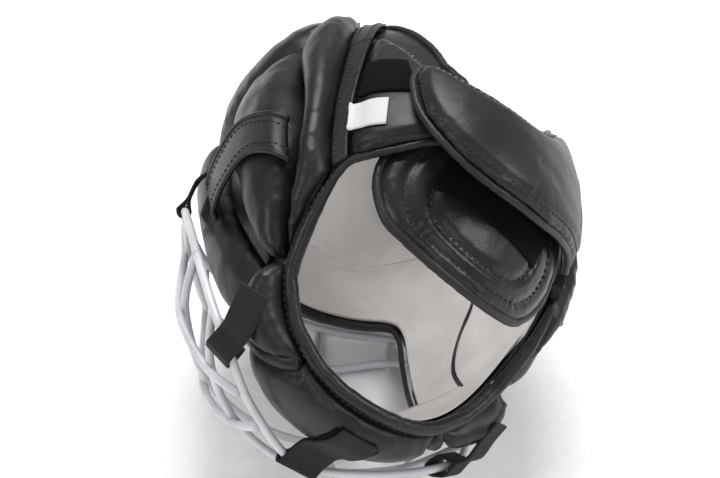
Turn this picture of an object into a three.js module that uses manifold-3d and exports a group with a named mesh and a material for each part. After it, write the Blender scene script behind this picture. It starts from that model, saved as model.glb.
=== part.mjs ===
// Full face sparring helmet: padded leather panels round an open head space, a welded face cage,
// webbing straps and a hook and loop closure at the nape. It lies on the right front of its cage.
// The helmet is drawn upright about the middle of the head and turned over at the end.
// Azimuth runs round the head: 0 is the face (-Y), +90 the wearer's left (+X) and 180 the nape.
// Elevation runs from -90 below the head to +90 above it. Offsets go out from the head's surface.
import * as THREE from "three";
import { mergeVertices } from "three/addons/utils/BufferGeometryUtils.js";
import Module from "manifold-3d";

const wasm = await Module();
wasm.setup();

// Head space, in millimetres
const HEAD_HALF_WIDTH = 88;
const HEAD_FRONT = 96;
const HEAD_BACK = 102;
const HEAD_UP = 124;
const HEAD_DOWN = 140;
const PLAN_POWER = 2.3;
const UP_POWER = 2.9;
const DOWN_POWER = 2.2;

// Layers, as offsets from the head's surface
const LINING_IN = 0;
const LINING_THICK = 2;
const PAD_IN = 2.8;
const PAD_EDGE = 6;
const SEAM = 0.6;
const WELD_DISTANCE = 0.01;

// Trim and straps
const PIPING_RADIUS = 2;
const PIPING_ASIDE = 1.95;
const PIPING_OFFSET = 4.5;
const PIPING_SIDES = 3;
const PIPING_STEP = 9;
const BINDING_RADIUS = 4.2;
const BINDING_BELOW = 2.95;
const BINDING_OFFSET = 6.5;
const BINDING_SIDES = 4;
const BINDING_STEP = 11;
const WEB_THICK = 1.8;
const STRAP_STEPS = 3;
const CHIN_STRAP_WIDTH = 26;
const JAW_STRAP_WIDTH = 21;
const TEMPLE_TAB_WIDTH = 13;
const PATCH_THICK = 1.4;
const BACK_PATCH_IN = 14.2;
const LABEL_IN = 13.6;

// Face cage
const WIRE_RADIUS = 2.6;
const WIRE_SIDES = 3;
const WIRE_STEP = 20;

// Lying pose: the helmet turns until the right front of the cage is underneath
const LIE_AZIMUTH = 39;
const LIE_TILT = 8;

const COLOUR = {
  leather: { color: 0x2f2d30, roughness: 0.46, metalness: 0 },
  strap_leather: { color: 0x353336, roughness: 0.5, metalness: 0 },
  lining: { color: 0xb9b4b1, roughness: 0.92, metalness: 0 },
  webbing: { color: 0x262528, roughness: 0.85, metalness: 0 },
  loop: { color: 0x101010, roughness: 1, metalness: 0 },
  label: { color: 0xe6e3e1, roughness: 0.8, metalness: 0 },
  cage: { color: 0xdedce0, roughness: 0.38, metalness: 0 },
};

const radians = THREE.MathUtils.degToRad;
const degrees = THREE.MathUtils.radToDeg;
const helmet = new THREE.Group();

function headPoint(azimuth, elevation, offset) {
  const a = radians(azimuth);
  const e = radians(elevation);
  const depth = (Math.cos(a) > 0 ? HEAD_FRONT : HEAD_BACK) + offset;
  const across = Math.abs(Math.sin(a) / (HEAD_HALF_WIDTH + offset)) ** PLAN_POWER;
  const along = Math.abs(Math.cos(a) / depth) ** PLAN_POWER;
  const plan = (across + along) ** (-1 / PLAN_POWER);
  const power = e > 0 ? UP_POWER : DOWN_POWER;
  const height = (e > 0 ? HEAD_UP : HEAD_DOWN) + offset;
  const flat = (Math.cos(e) / plan) ** power;
  const upright = Math.abs(Math.sin(e) / height) ** power;
  const reach = (flat + upright) ** (-1 / power);
  return new THREE.Vector3(
    reach * Math.cos(e) * Math.sin(a),
    -reach * Math.cos(e) * Math.cos(a),
    reach * Math.sin(e),
  );
}

// The same surface by an angle over the top, 0 at the face and 180 at the nape, and one to the left
function crownPoint(over, aside, offset) {
  const direction = new THREE.Vector3(
    Math.sin(radians(aside)),
    -Math.cos(radians(aside)) * Math.cos(radians(over)),
    Math.cos(radians(aside)) * Math.sin(radians(over)),
  );
  const azimuth = degrees(Math.atan2(direction.x, -direction.y));
  return headPoint(azimuth, degrees(Math.asin(direction.z)), offset);
}

// Straight line table lookup on named columns
function lookUp(table, key, value, at) {
  const last = table.length - 2;
  const found = table.findIndex((row, i) => i <= last && at <= table[i + 1][key]);
  const i = found < 0 ? last : found;
  const span = table[i + 1][key] - table[i][key];
  return THREE.MathUtils.lerp(table[i][value], table[i + 1][value], (at - table[i][key]) / span);
}

function addMesh(name, geometry, look) {
  const mesh = new THREE.Mesh(geometry, new THREE.MeshStandardMaterial(COLOUR[look]));
  mesh.name = name;
  helmet.add(mesh);
}

// Closed skin between two equal grids of points, wound so that it faces out
function closedGrid(outer, inner, rows, columns) {
  const vertices = [...outer, ...inner].flatMap((p) => [p.x, p.y, p.z]);
  const at = (i, j) => i * columns + j;
  const back = outer.length;
  const faces = [];
  const quad = (a, b, c, d) => faces.push(a, b, c, a, c, d);
  for (let i = 0; i + 1 < rows; i += 1) {
    for (let j = 0; j + 1 < columns; j += 1) {
      const corners = [at(i, j), at(i + 1, j), at(i + 1, j + 1), at(i, j + 1)];
      quad(...corners);
      quad(...corners.map((k) => k + back).reverse());
    }
    const near = [at(i, 0), at(i + 1, 0)];
    const far = [at(i, columns - 1), at(i + 1, columns - 1)];
    quad(near[1], near[0], near[0] + back, near[1] + back);
    quad(far[0], far[1], far[1] + back, far[0] + back);
  }
  for (let j = 0; j + 1 < columns; j += 1) {
    const first = [at(0, j), at(0, j + 1)];
    const end = [at(rows - 1, j), at(rows - 1, j + 1)];
    quad(first[0], first[1], first[1] + back, first[0] + back);
    quad(end[1], end[0], end[0] + back, end[1] + back);
  }
  let volume = 0;
  for (let i = 0; i < faces.length; i += 3) {
    const [a, b, c] = [0, 1, 2].map((k) => new THREE.Vector3().fromArray(vertices, 3 * faces[i + k]));
    volume += a.dot(b.cross(c));
  }
  if (volume < 0) faces.reverse();
  const geometry = new THREE.BufferGeometry();
  geometry.setAttribute("position", new THREE.Float32BufferAttribute(vertices, 3));
  geometry.setIndex(faces);
  return geometry;
}

// Swell of a stuffed panel from 0 at its sewn edges to 1 inside; a low power makes a flatter panel
const swell = (share, power) => (4 * share * (1 - share)) ** power;

// Bow of a row from its low to its high edge, which is 1 where it is largest, a third of the way up
const BOW_SCALE = 27 / 4;
const bowed = (share) => BOW_SCALE * share * (1 - share) ** 2;

// Padded panel on the head between a low and a high edge, with one row for each section along it.
// A row's inner column lifts the panel off the head, and its bow column carries the row's lower part aft.
function panel(rows, size) {
  const { along, across, puff, power = 0.4, edge = PAD_EDGE, inner = PAD_IN, place = headPoint } = size;
  const curve = (azimuth, elevation) =>
    new THREE.CatmullRomCurve3(
      rows.map((row) => new THREE.Vector3(row[azimuth], row[elevation], row.inner ?? inner)),
    );
  const low = curve("azLow", "low");
  const high = curve("azHigh", "high");
  const bow = new THREE.CatmullRomCurve3(rows.map((row) => new THREE.Vector3(row.bow ?? 0, 0, 0)));
  const outerPoints = [];
  const innerPoints = [];
  for (let i = 0; i <= along; i += 1) {
    const u = i / along;
    const from = low.getPoint(u);
    const to = high.getPoint(u);
    const aft = bow.getPoint(u).x;
    for (let j = 0; j <= across; j += 1) {
      const v = (1 - Math.cos((Math.PI * j) / across)) / 2;
      const spot = from.clone().lerp(to, v);
      spot.x += aft * bowed(v);
      const thick = edge + puff * swell(u, power) * swell(v, power);
      outerPoints.push(place(spot.x, spot.y, spot.z + thick));
      innerPoints.push(place(spot.x, spot.y, spot.z));
    }
  }
  return closedGrid(outerPoints, innerPoints, along + 1, across + 1);
}

const mirrorRows = (rows) =>
  rows.map((row) => ({ ...row, azLow: -row.azLow, azHigh: -row.azHigh, bow: -(row.bow ?? 0) }));

function addPair(name, rows, size, look) {
  addMesh(`${name}_left`, panel(rows, size), look);
  addMesh(`${name}_right`, panel(mirrorRows(rows), size), look);
}

// Half of an arch given from its foot to its middle, completed by its mirror image
const fullArch = (rows) => [...rows, ...mirrorRows(rows.slice(0, -1)).reverse()];

// Round cord along points
function cord(points, radius, sides, step) {
  const path = new THREE.CatmullRomCurve3(points);
  const ring = new THREE.Shape().absarc(0, 0, radius, 0, 2 * Math.PI);
  const steps = Math.ceil(path.getLength() / step);
  const geometry = new THREE.ExtrudeGeometry(ring, { steps, curveSegments: sides, extrudePath: path });
  geometry.deleteAttribute("normal");
  geometry.deleteAttribute("uv");
  return mergeVertices(geometry, WELD_DISTANCE);
}

// Flat strap along points, its width lying along one direction
function strap(points, widthAlong, width, thick) {
  const path = new THREE.CatmullRomCurve3(points);
  const count = STRAP_STEPS * (points.length - 1);
  const outerPoints = [];
  const innerPoints = [];
  for (let i = 0; i <= count; i += 1) {
    const middle = path.getPoint(i / count);
    const tangent = path.getTangent(i / count);
    const side = widthAlong.clone().projectOnPlane(tangent).normalize();
    const normal = tangent.cross(side).setLength(thick / 2);
    for (const half of [-width / 2, width / 2]) {
      const spot = middle.clone().addScaledVector(side, half);
      outerPoints.push(spot.clone().add(normal));
      innerPoints.push(spot.clone().sub(normal));
    }
  }
  return closedGrid(outerPoints, innerPoints, count + 1, 2);
}

// Rim of the crown pads, which rises to an open gap at the back of the head
const CROWN_RIM = [
  { azimuth: 0, elevation: 46 },
  { azimuth: 45, elevation: 43.5 },
  { azimuth: 75, elevation: 39 },
  { azimuth: 108, elevation: 39 },
  { azimuth: 130, elevation: 46 },
  { azimuth: 152, elevation: 53 },
  { azimuth: 180, elevation: 58 },
];
const crownRim = (azimuth) => lookUp(CROWN_RIM, "azimuth", "elevation", Math.abs(azimuth));

// Front shell: an arch round the face window, from the left cheek over the brow to the right cheek
const FRONT_ARCH = [
  { azLow: 43, low: -39, azHigh: 69, high: -41 },
  { azLow: 43, low: -25, azHigh: 67, high: -22 },
  { azLow: 44, low: -6, azHigh: 65, high: 0 },
  { azLow: 45, low: 9, azHigh: 65.5, high: 18 },
  { azLow: 42, low: 17.5, azHigh: 68, high: 38.2 },
  { azLow: 32, low: 20.5, azHigh: 48, high: 42.3 },
  { azLow: 16, low: 22, azHigh: 26, high: 42 },
  { azLow: 0, low: 22.5, azHigh: 0, high: 45 },
];
addMesh("front_shell", panel(fullArch(FRONT_ARCH), { along: 26, across: 6, puff: 14 }), "leather");

// Lining of the front shell, whose rear edge is the ear slit
const FRONT_LINING = [
  { azLow: 43.5, low: -39, azHigh: 62, high: -40 },
  { azLow: 43.5, low: -25, azHigh: 59, high: -25 },
  { azLow: 44.5, low: -6, azHigh: 65, high: -7 },
  { azLow: 45.5, low: 9, azHigh: 77, high: 8 },
  { azLow: 43, low: 18, azHigh: 76, high: 38 },
  { azLow: 32, low: 21, azHigh: 48, high: 41.5 },
  { azLow: 16, low: 22.5, azHigh: 26, high: 42 },
  { azLow: 0, low: 23, azHigh: 0, high: 45 },
];
const THIN_LINING = { puff: 0, edge: LINING_THICK, inner: LINING_IN };
addMesh("front_lining", panel(fullArch(FRONT_LINING), { along: 26, across: 4, ...THIN_LINING }), "lining");

// Crown: a middle strip over the top and a pad on each side of it
const CROWN_SEAM = 22;
const CROWN_SEAM_GAP = 0.5;
const CROWN_FRONT = 46.2;
const CROWN_BACK = 121;
const crownStrip = [CROWN_FRONT, (CROWN_FRONT + CROWN_BACK) / 2, CROWN_BACK].map((over) => ({
  azLow: over,
  low: CROWN_SEAM_GAP - CROWN_SEAM,
  azHigh: over,
  high: CROWN_SEAM - CROWN_SEAM_GAP,
}));
const CROWN_SIZE = { across: 6, puff: 13, inner: PAD_IN + SEAM, place: crownPoint };
addMesh("crown_pad_middle", panel(crownStrip, { along: 9, ...CROWN_SIZE }), "leather");

const CROWN_SIDE_FROM = 38;
const CROWN_SIDE_TO = 133;
const CROWN_SIDE_ROWS = 6;
const seamElevation = (azimuth) =>
  degrees(Math.acos(Math.sin(radians(CROWN_SEAM + CROWN_SEAM_GAP)) / Math.sin(radians(azimuth))));
const crownSide = Array.from({ length: CROWN_SIDE_ROWS + 1 }, (_, i) => {
  const azimuth = THREE.MathUtils.lerp(CROWN_SIDE_FROM, CROWN_SIDE_TO, i / CROWN_SIDE_ROWS);
  return {
    azLow: azimuth,
    low: crownRim(azimuth) + CROWN_SEAM_GAP,
    azHigh: azimuth,
    high: seamElevation(azimuth) - CROWN_SEAM_GAP,
  };
});
addPair("crown_pad", crownSide, { along: 9, across: 5, puff: 15 }, "leather");

// Crown lining, by angle over the top and half width
const CROWN_LINING = [
  { over: 48, half: 22 },
  { over: 55, half: 33 },
  { over: 70, half: 46 },
  { over: 90, half: 49.5 },
  { over: 105, half: 47 },
  { over: 115, half: 41 },
  { over: 120, half: 30 },
];
const crownLining = CROWN_LINING.map((row) => ({
  azLow: row.over,
  low: -row.half,
  azHigh: row.over,
  high: row.half,
}));
const CROWN_LINING_SIZE = { along: 10, across: 10, ...THIN_LINING, place: crownPoint };
addMesh("crown_lining", panel(crownLining, CROWN_LINING_SIZE), "lining");

// Ear pads, the gusset in front of each and the side panels behind them
const EAR_PAD = [
  { azLow: 75, low: -40.5, azHigh: 80, high: 38.4, bow: 1 },
  { azLow: 77, low: -43.2, azHigh: 97, high: 38.7, bow: 9 },
  { azLow: 79.2, low: -45.4, azHigh: 116, high: 39.4, bow: 16 },
];
addPair("ear_pad", EAR_PAD, { along: 7, across: 9, puff: 17, power: 0.45 }, "leather");

const EAR_GUSSET = [
  { azLow: 70.8, low: -40, azHigh: 73.8, high: -39.6 },
  { azLow: 68.8, low: -22, azHigh: 76.2, high: -22 },
  { azLow: 66, low: 0, azHigh: 77.4, high: 0 },
  { azLow: 66.5, low: 18, azHigh: 78.2, high: 18 },
  { azLow: 71, low: 34, azHigh: 78.6, high: 35 },
];
addPair("ear_gusset", EAR_GUSSET, { along: 9, across: 2, puff: 0, edge: 4 }, "leather");

const SIDE_PANEL = [
  { azLow: 80.2, low: -46, azHigh: 117, high: 38.8, bow: 16 },
  { azLow: 99.5, low: -40, azHigh: 127.6, high: 42.3, bow: 7 },
  { azLow: 114, low: -33.4, azHigh: 138.4, high: 46.5 },
];
addPair("side_panel", SIDE_PANEL, { along: 6, across: 10, puff: 15 }, "leather");

const SIDE_LINING = [
  { azLow: 64, low: -40, azHigh: 100, high: -40 },
  { azLow: 61, low: -25, azHigh: 119, high: -28 },
  { azLow: 66.8, low: -7, azHigh: 127, high: -7 },
  { azLow: 78.9, low: 8, azHigh: 132.5, high: 8 },
  { azLow: 78.4, low: 38, azHigh: 141, high: 38 },
];
addPair("side_lining", SIDE_LINING, { along: 9, across: 7, ...THIN_LINING }, "lining");

// Flat sewn strip between each side panel and the back flaps
const SEAM_STRIP = [
  { azLow: 114.8, low: -32.9, azHigh: 120.6, high: -32.9 },
  { azLow: 124.7, low: 0, azHigh: 131.3, high: 0 },
  { azLow: 132, low: 23, azHigh: 138.8, high: 23 },
];
addPair("seam_strip", SEAM_STRIP, { along: 8, across: 2, puff: 0, edge: 7 }, "strap_leather");

// Back flap with its loop patch and blank label, and the closure flap that laps over it
const BACK_FLAP = [
  { azLow: 121.2, low: -32.9, azHigh: 139.4, high: 22.5 },
  { azLow: 132.5, low: -34.2, azHigh: 144, high: 18 },
  { azLow: 146, low: -33.5, azHigh: 149.6, high: 6 },
  { azLow: 155, low: -31, azHigh: 154, high: -8 },
];
const FLAP_SIZE = { edge: 5, puff: 6, power: 0.2 };
addMesh("back_flap_left", panel(BACK_FLAP, { along: 6, across: 8, ...FLAP_SIZE }), "leather");

const LOOP_PATCH = [
  { azLow: 129.5, low: -13, azHigh: 134.4, high: 2.5 },
  { azLow: 146, low: -18, azHigh: 146, high: -2 },
];
const PATCH_SIZE = { puff: 0, edge: PATCH_THICK, inner: BACK_PATCH_IN };
addMesh("back_loop_patch", panel(LOOP_PATCH, { along: 3, across: 3, ...PATCH_SIZE }), "loop");

const LABEL = [
  { azLow: 123.8, low: -25, azHigh: 126.6, high: -15.6 },
  { azLow: 135.4, low: -28, azHigh: 138, high: -18.6 },
];
addMesh("blank_label", panel(LABEL, { along: 3, across: 2, ...PATCH_SIZE, inner: LABEL_IN }), "label");

const CLOSURE_FLAP = [
  { azLow: 145, low: -27, azHigh: 145.5, high: -14, inner: 16.4 },
  { azLow: 149, low: -35, azHigh: 149, high: -9.5, inner: 16.4 },
  { azLow: 158, low: -43, azHigh: 158, high: -16.5, inner: 16.4 },
  { azLow: 168, low: -46.5, azHigh: 168, high: -20.5, inner: 16 },
  { azLow: 178, low: -47.5, azHigh: 178, high: -21, inner: 14 },
  { azLow: 190, low: -47, azHigh: 189, high: -16, inner: 10 },
  { azLow: 204, low: -43.5, azHigh: 199, high: -2, inner: 6 },
  { azLow: 219, low: -38, azHigh: 208, high: 12, inner: 3.5 },
  { azLow: 232.2, low: -33.5, azHigh: 215, high: 22.5, inner: 2.8 },
];
addMesh("closure_flap", panel(CLOSURE_FLAP, { along: 18, across: 6, ...FLAP_SIZE }), "leather");

// Jaw and chin
const JAW_PAD = [
  { azLow: 79.2, low: -47, azHigh: 79.4, high: -46.5 },
  { azLow: 72, low: -49.6, azHigh: 73.8, high: -42.2 },
  { azLow: 66, low: -52.4, azHigh: 67, high: -42.2 },
  { azLow: 60, low: -55.2, azHigh: 60, high: -40.6 },
  { azLow: 45.5, low: -61.6, azHigh: 45.5, high: -39.5 },
];
addPair("jaw_pad", JAW_PAD, { along: 9, across: 6, puff: 15 }, "leather");

const CHIN_PAD = [
  { azLow: 45.1, low: -61.9, azHigh: 45.1, high: -40.4 },
  { azLow: 30, low: -66, azHigh: 30, high: -40.6 },
  { azLow: 15, low: -68.2, azHigh: 15, high: -41.2 },
  { azLow: 0, low: -68.9, azHigh: 0, high: -41.5 },
];
addMesh("chin_pad", panel(fullArch(CHIN_PAD), { along: 14, across: 7, puff: 11 }), "leather");

// Oval neck pad: flat by width and height, then bent round the nape and leaned into the opening
const NECK_HALF_WIDTH = 65;
const NECK_HALF_HEIGHT = 41;
const NECK_BEND_RADIUS = 100;
const NECK_THICK = { edge: 3, puff: 5, power: 0.25 };
const NECK_LEAN = -43;
const NECK_ROLL = -8;
const NECK_AT = new THREE.Vector3(1, 67.7, -86.6);
const neckTurn = new THREE.Euler(radians(NECK_LEAN), radians(NECK_ROLL), 0);

function neckPoint(aside, up, lift) {
  const bent = lift - aside ** 2 / (2 * NECK_BEND_RADIUS);
  return new THREE.Vector3(aside, bent, up).applyEuler(neckTurn).add(NECK_AT);
}

// Grid of an oval or, with no rounding, of a rectangle on the neck pad
function neckPatch(size) {
  const { halfWidth, halfHeight, up = 0, rounding, along, across, outside, inside } = size;
  const outerPoints = [];
  const innerPoints = [];
  for (let i = 0; i <= along; i += 1) {
    for (let j = 0; j <= across; j += 1) {
      const u = -Math.cos((Math.PI * i) / along);
      const v = -Math.cos((Math.PI * j) / across);
      const aside = halfWidth * u * Math.sqrt(1 - rounding * v ** 2);
      const height = up + halfHeight * v * Math.sqrt(1 - rounding * u ** 2);
      outerPoints.push(neckPoint(aside, height, outside(u, v)));
      innerPoints.push(neckPoint(aside, height, inside(u, v)));
    }
  }
  return closedGrid(outerPoints, innerPoints, along + 1, across + 1);
}

const neckLift = (u, v) => {
  const round = swell((u + 1) / 2, NECK_THICK.power) * swell((v + 1) / 2, NECK_THICK.power);
  return NECK_THICK.edge + NECK_THICK.puff * round;
};
const NECK_PAD = {
  halfWidth: NECK_HALF_WIDTH,
  halfHeight: NECK_HALF_HEIGHT,
  rounding: 0.42,
  along: 12,
  across: 8,
  outside: neckLift,
  inside: (u, v) => -neckLift(u, v),
};
addMesh("neck_pad", neckPatch(NECK_PAD), "leather");

const NECK_LOOP_LIFT = NECK_THICK.edge + NECK_THICK.puff + SEAM;
const NECK_LOOP = {
  halfWidth: 40,
  halfHeight: 10,
  up: 8,
  rounding: 0,
  along: 6,
  across: 1,
  outside: () => NECK_LOOP_LIFT + PATCH_THICK,
  inside: () => NECK_LOOP_LIFT,
};
addMesh("neck_loop_strip", neckPatch(NECK_LOOP), "loop");

// Piping round the window and rolled binding along the neck edge, beside the panels' sewn edges
const pipingPath = fullArch(FRONT_ARCH).map((row) => {
  const inward = new THREE.Vector2(row.azLow - row.azHigh, row.low - row.high).setLength(PIPING_ASIDE);
  return headPoint(row.azLow + inward.x, row.low + inward.y, PIPING_OFFSET);
});
const windowPiping = cord(pipingPath, PIPING_RADIUS, PIPING_SIDES, PIPING_STEP);
addMesh("window_piping", windowPiping, "leather");

// The jaw pad's narrow rear end is left out, so that the binding sweeps past it
const neckEdge = [...SIDE_PANEL.toReversed(), ...JAW_PAD.slice(1), ...CHIN_PAD];
const bindingPath = fullArch(neckEdge).map((row) =>
  headPoint(row.azLow, row.low - BINDING_BELOW, BINDING_OFFSET),
);
const neckBinding = cord(bindingPath, BINDING_RADIUS, BINDING_SIDES, BINDING_STEP);
addMesh("neck_binding", neckBinding, "leather");

// Leather strap across each ear pad
const EAR_STRAP = [
  { azLow: 64.5, low: -5.5, azHigh: 63.5, high: 9.5, inner: 19.2 },
  { azLow: 79, low: -9.5, azHigh: 80, high: 8.5, inner: 24 },
  { azLow: 92, low: -13, azHigh: 93, high: 5, inner: 26.8 },
  { azLow: 103.5, low: -22.5, azHigh: 106.5, high: -9, inner: 24.5 },
];
addPair("ear_strap", EAR_STRAP, { along: 10, across: 2, puff: 0, edge: 2.4 }, "strap_leather");

// Face cage: welded wires, each given by the half on the wearer's left from its end to the middle
const CAGE_RIM = [
  { x: 104.5, y: -62, z: -38 },
  { x: 105.5, y: -62.5, z: -20 },
  { x: 103, y: -70, z: 22 },
  { x: 86, y: -89, z: 47 },
  { x: 48, y: -116, z: 63 },
  { x: 0, y: -125, z: 68 },
];
const CAGE_CHIN = [
  { x: 105, y: -62, z: -30 },
  { x: 97, y: -63, z: -78 },
  { x: 83, y: -70, z: -102 },
  { x: 47, y: -95, z: -109 },
  { x: 0, y: -113, z: -110 },
];
const CAGE_BARS = [
  {
    end: { x: 105, y: -66.5, z: 4 },
    shoulder: { x: 80, y: -95.5, z: 25 },
    front: { x: 43.5, y: -125, z: 26 },
    middle: { x: 0, y: -132, z: 26 },
  },
  {
    end: { x: 104, y: -62, z: -35 },
    shoulder: { x: 87, y: -98, z: -38 },
    front: { x: 46, y: -132, z: -42 },
    middle: { x: 0, y: -142, z: -44 },
  },
  {
    end: { x: 95, y: -64, z: -81 },
    shoulder: { x: 74, y: -96, z: -84 },
    front: { x: 40, y: -120, z: -86 },
    middle: { x: 0, y: -129, z: -88 },
  },
];
// The uprights are welded on the outside of the bars
const UPRIGHT_OUT = 3.6;
const UPRIGHT_ENDS = {
  front: { top: { x: 45, y: -118.6, z: 64 }, foot: { x: 36, y: -101, z: -110 } },
  shoulder: { top: { x: 82, y: -90, z: 49 }, foot: { x: 58, y: -88, z: -108.5 } },
};

const vector = (row, side = 1) => new THREE.Vector3(side * row.x, row.y, row.z);
const fullWire = (rows) => [
  ...rows.map((row) => vector(row)),
  ...rows.slice(0, -1).toReversed().map((row) => vector(row, -1)),
];
const outward = (point, distance) =>
  point.addScaledVector(new THREE.Vector3(point.x, point.y, 0).normalize(), distance);

function toSolid(geometry) {
  const vertProperties = new Float32Array(geometry.attributes.position.array);
  const triVerts = new Uint32Array(geometry.index.array);
  return new wasm.Manifold(new wasm.Mesh({ numProp: 3, vertProperties, triVerts }));
}

function toGeometry(solid) {
  const mesh = solid.getMesh();
  const geometry = new THREE.BufferGeometry();
  geometry.setAttribute("position", new THREE.BufferAttribute(mesh.vertProperties, 3));
  geometry.setIndex(new THREE.BufferAttribute(mesh.triVerts, 1));
  return geometry;
}

const wire = (points) => toSolid(cord(points, WIRE_RADIUS, WIRE_SIDES, WIRE_STEP));
const barRows = CAGE_BARS.map((bar) => [bar.end, bar.shoulder, bar.front, bar.middle]);
const wires = [CAGE_RIM, CAGE_CHIN, ...barRows].map((rows) => wire(fullWire(rows)));
for (const [place, { top, foot }] of Object.entries(UPRIGHT_ENDS)) {
  const rows = [top, ...CAGE_BARS.map((bar) => bar[place]), foot];
  for (const side of [1, -1]) {
    wires.push(wire(rows.map((row) => outward(vector(row, side), UPRIGHT_OUT))));
  }
}
addMesh("face_cage", toGeometry(wires.reduce((cage, next) => cage.add(next))), "cage");

// Webbing that loops round a cage wire: a seat on the padding, a turn round the wire and a short tail
const WRAP_TURNS = [90, 135, 180, 225, 270];
const STRAP_TAIL = 9;
const TEMPLE_LOOP = { width: TEMPLE_TAB_WIDTH, depth: 2.6, gap: 2.1 };
const JAW_LOOP = { width: JAW_STRAP_WIDTH, depth: 9.8, gap: 4.8 };
const CHIN_LOOP = { width: CHIN_STRAP_WIDTH, depth: 1, gap: 1.2 };

function loopStrap(seat, wireAt, { width, depth, gap }) {
  const toPad = seat.at(-1).clone().sub(wireAt).normalize();
  const out = wireAt.clone().normalize();
  out.addScaledVector(toPad, -out.dot(toPad)).normalize();
  const reach = WIRE_RADIUS + WEB_THICK / 2 + gap;
  const turn = WRAP_TURNS.map((angle) =>
    wireAt
      .clone()
      .addScaledVector(toPad, (reach + depth) * Math.cos(radians(angle)))
      .addScaledVector(out, reach * Math.sin(radians(angle))),
  );
  const tail = turn.at(-1).clone().addScaledVector(toPad, STRAP_TAIL);
  return strap([...seat, ...turn, tail], out.clone().cross(toPad), width, WEB_THICK);
}

const seatOf = (rows, side) => rows.map((row) => headPoint(side * row.azimuth, row.elevation, row.offset));
const TEMPLE_SEAT = [
  { azimuth: 66.5, elevation: 15, offset: 22.4 },
  { azimuth: 63, elevation: 14.5, offset: 25.9 },
];
const JAW_SEAT = [
  { azimuth: 72, elevation: -47, offset: 25.6 },
  { azimuth: 65, elevation: -47, offset: 27.1 },
  { azimuth: 58.5, elevation: -46.5, offset: 33 },
];
const CHIN_SEAT = [
  { azimuth: 0, elevation: -67, offset: 19.2 },
  { azimuth: 0, elevation: -62.6, offset: 21.7 },
  { azimuth: 0, elevation: -57.4, offset: 24.2 },
  { azimuth: 0, elevation: -51.6, offset: 28 },
];
for (const [side, word] of [[1, "left"], [-1, "right"]]) {
  const corner = vector(CAGE_RIM[2], side);
  const jaw = vector(CAGE_CHIN[2], side);
  addMesh(`temple_tab_${word}`, loopStrap(seatOf(TEMPLE_SEAT, side), corner, TEMPLE_LOOP), "webbing");
  addMesh(`jaw_strap_${word}`, loopStrap(seatOf(JAW_SEAT, side), jaw, JAW_LOOP), "webbing");
}
const chinWire = vector(CAGE_CHIN.at(-1));
addMesh("chin_strap", loopStrap(seatOf(CHIN_SEAT, 1), chinWire, CHIN_LOOP), "webbing");

const CHIN_PATCH = [
  { azLow: -15, low: -66.5, azHigh: 15, high: -66.5, inner: 16.4 },
  { azLow: -13, low: -63, azHigh: 13, high: -63, inner: 18.8 },
  { azLow: -11, low: -59.2, azHigh: 11, high: -59.2, inner: 20.2 },
];
addMesh("chin_loop_patch", panel(CHIN_PATCH, { along: 4, across: 2, ...PATCH_SIZE }), "loop");

// Lying pose: the right front turns down, the neck opening faces forward and the box is centred
helmet.rotation.z = radians(LIE_AZIMUTH);
const tipped = new THREE.Group();
tipped.rotation.x = radians(90 + LIE_TILT);
tipped.add(helmet);
const lying = new THREE.Group();
lying.rotation.z = Math.PI;
lying.add(tipped);
const part = new THREE.Group();
part.add(lying);
part.updateMatrixWorld(true);
const box = new THREE.Box3().setFromObject(part, true);
const centre = box.getCenter(new THREE.Vector3());
lying.position.set(-centre.x, -centre.y, -box.min.z);
part.updateMatrixWorld(true);

export default part;
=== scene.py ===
import math

import bmesh
import bpy
from mathutils import Matrix, Vector, noise
from mathutils.bvhtree import BVHTree
from mathutils.kdtree import KDTree


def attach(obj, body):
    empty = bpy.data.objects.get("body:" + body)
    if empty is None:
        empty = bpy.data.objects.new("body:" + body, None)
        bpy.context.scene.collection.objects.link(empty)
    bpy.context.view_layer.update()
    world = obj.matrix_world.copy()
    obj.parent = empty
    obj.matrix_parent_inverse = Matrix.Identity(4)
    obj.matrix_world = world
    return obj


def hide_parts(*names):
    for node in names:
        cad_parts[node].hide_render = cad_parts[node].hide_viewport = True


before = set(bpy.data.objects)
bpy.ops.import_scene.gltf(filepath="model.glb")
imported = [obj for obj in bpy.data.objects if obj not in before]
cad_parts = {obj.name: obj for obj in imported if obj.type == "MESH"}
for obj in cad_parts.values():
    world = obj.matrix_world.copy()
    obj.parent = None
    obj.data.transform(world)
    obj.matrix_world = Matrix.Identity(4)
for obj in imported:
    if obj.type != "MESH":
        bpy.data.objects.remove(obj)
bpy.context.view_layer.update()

bl_info = {
    "name": "Sparring helmet looks",
    "version": (1, 0, 0),
    "blender": (4, 5, 0),
    "location": "View3D > Sidebar > Helmet",
    "description": "Pads, straps, cage, stitching and stage of a padded full face helmet",
    "category": "Object",
}

MM = 0.001
# The head space that the solids are drawn on, in millimetres, and how it is turned and placed as it lies
HALF_WIDTH, FRONT, BACK, UP, DOWN = 88, 96, 102, 124, 140
PLAN_POWER, UP_POWER, DOWN_POWER = 2.3, 2.9, 2.2
LIE_AZIMUTH, LIE_TILT = 39, 8
HEAD_AT = Vector((0.00857, 0.00099, 0.13418))
TURN = (
    Matrix.Rotation(math.pi, 3, "Z")
    @ Matrix.Rotation(math.radians(90 + LIE_TILT), 3, "X")
    @ Matrix.Rotation(math.radians(LIE_AZIMUTH), 3, "Z")
)
# Rays to the head start this far outside it, in millimetres, and edges sharper than the angle are rims
RAY_FROM = 60
RIM_ANGLE = math.radians(50)
# Points closer than this are one
MERGE = 0.02 * MM
NODE_MERGE = 0.05 * MM
# The wearer's two sides: the sign of their azimuths and the word in their pieces' names
SIDES = ((1, "left"), (-1, "right"))


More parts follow.
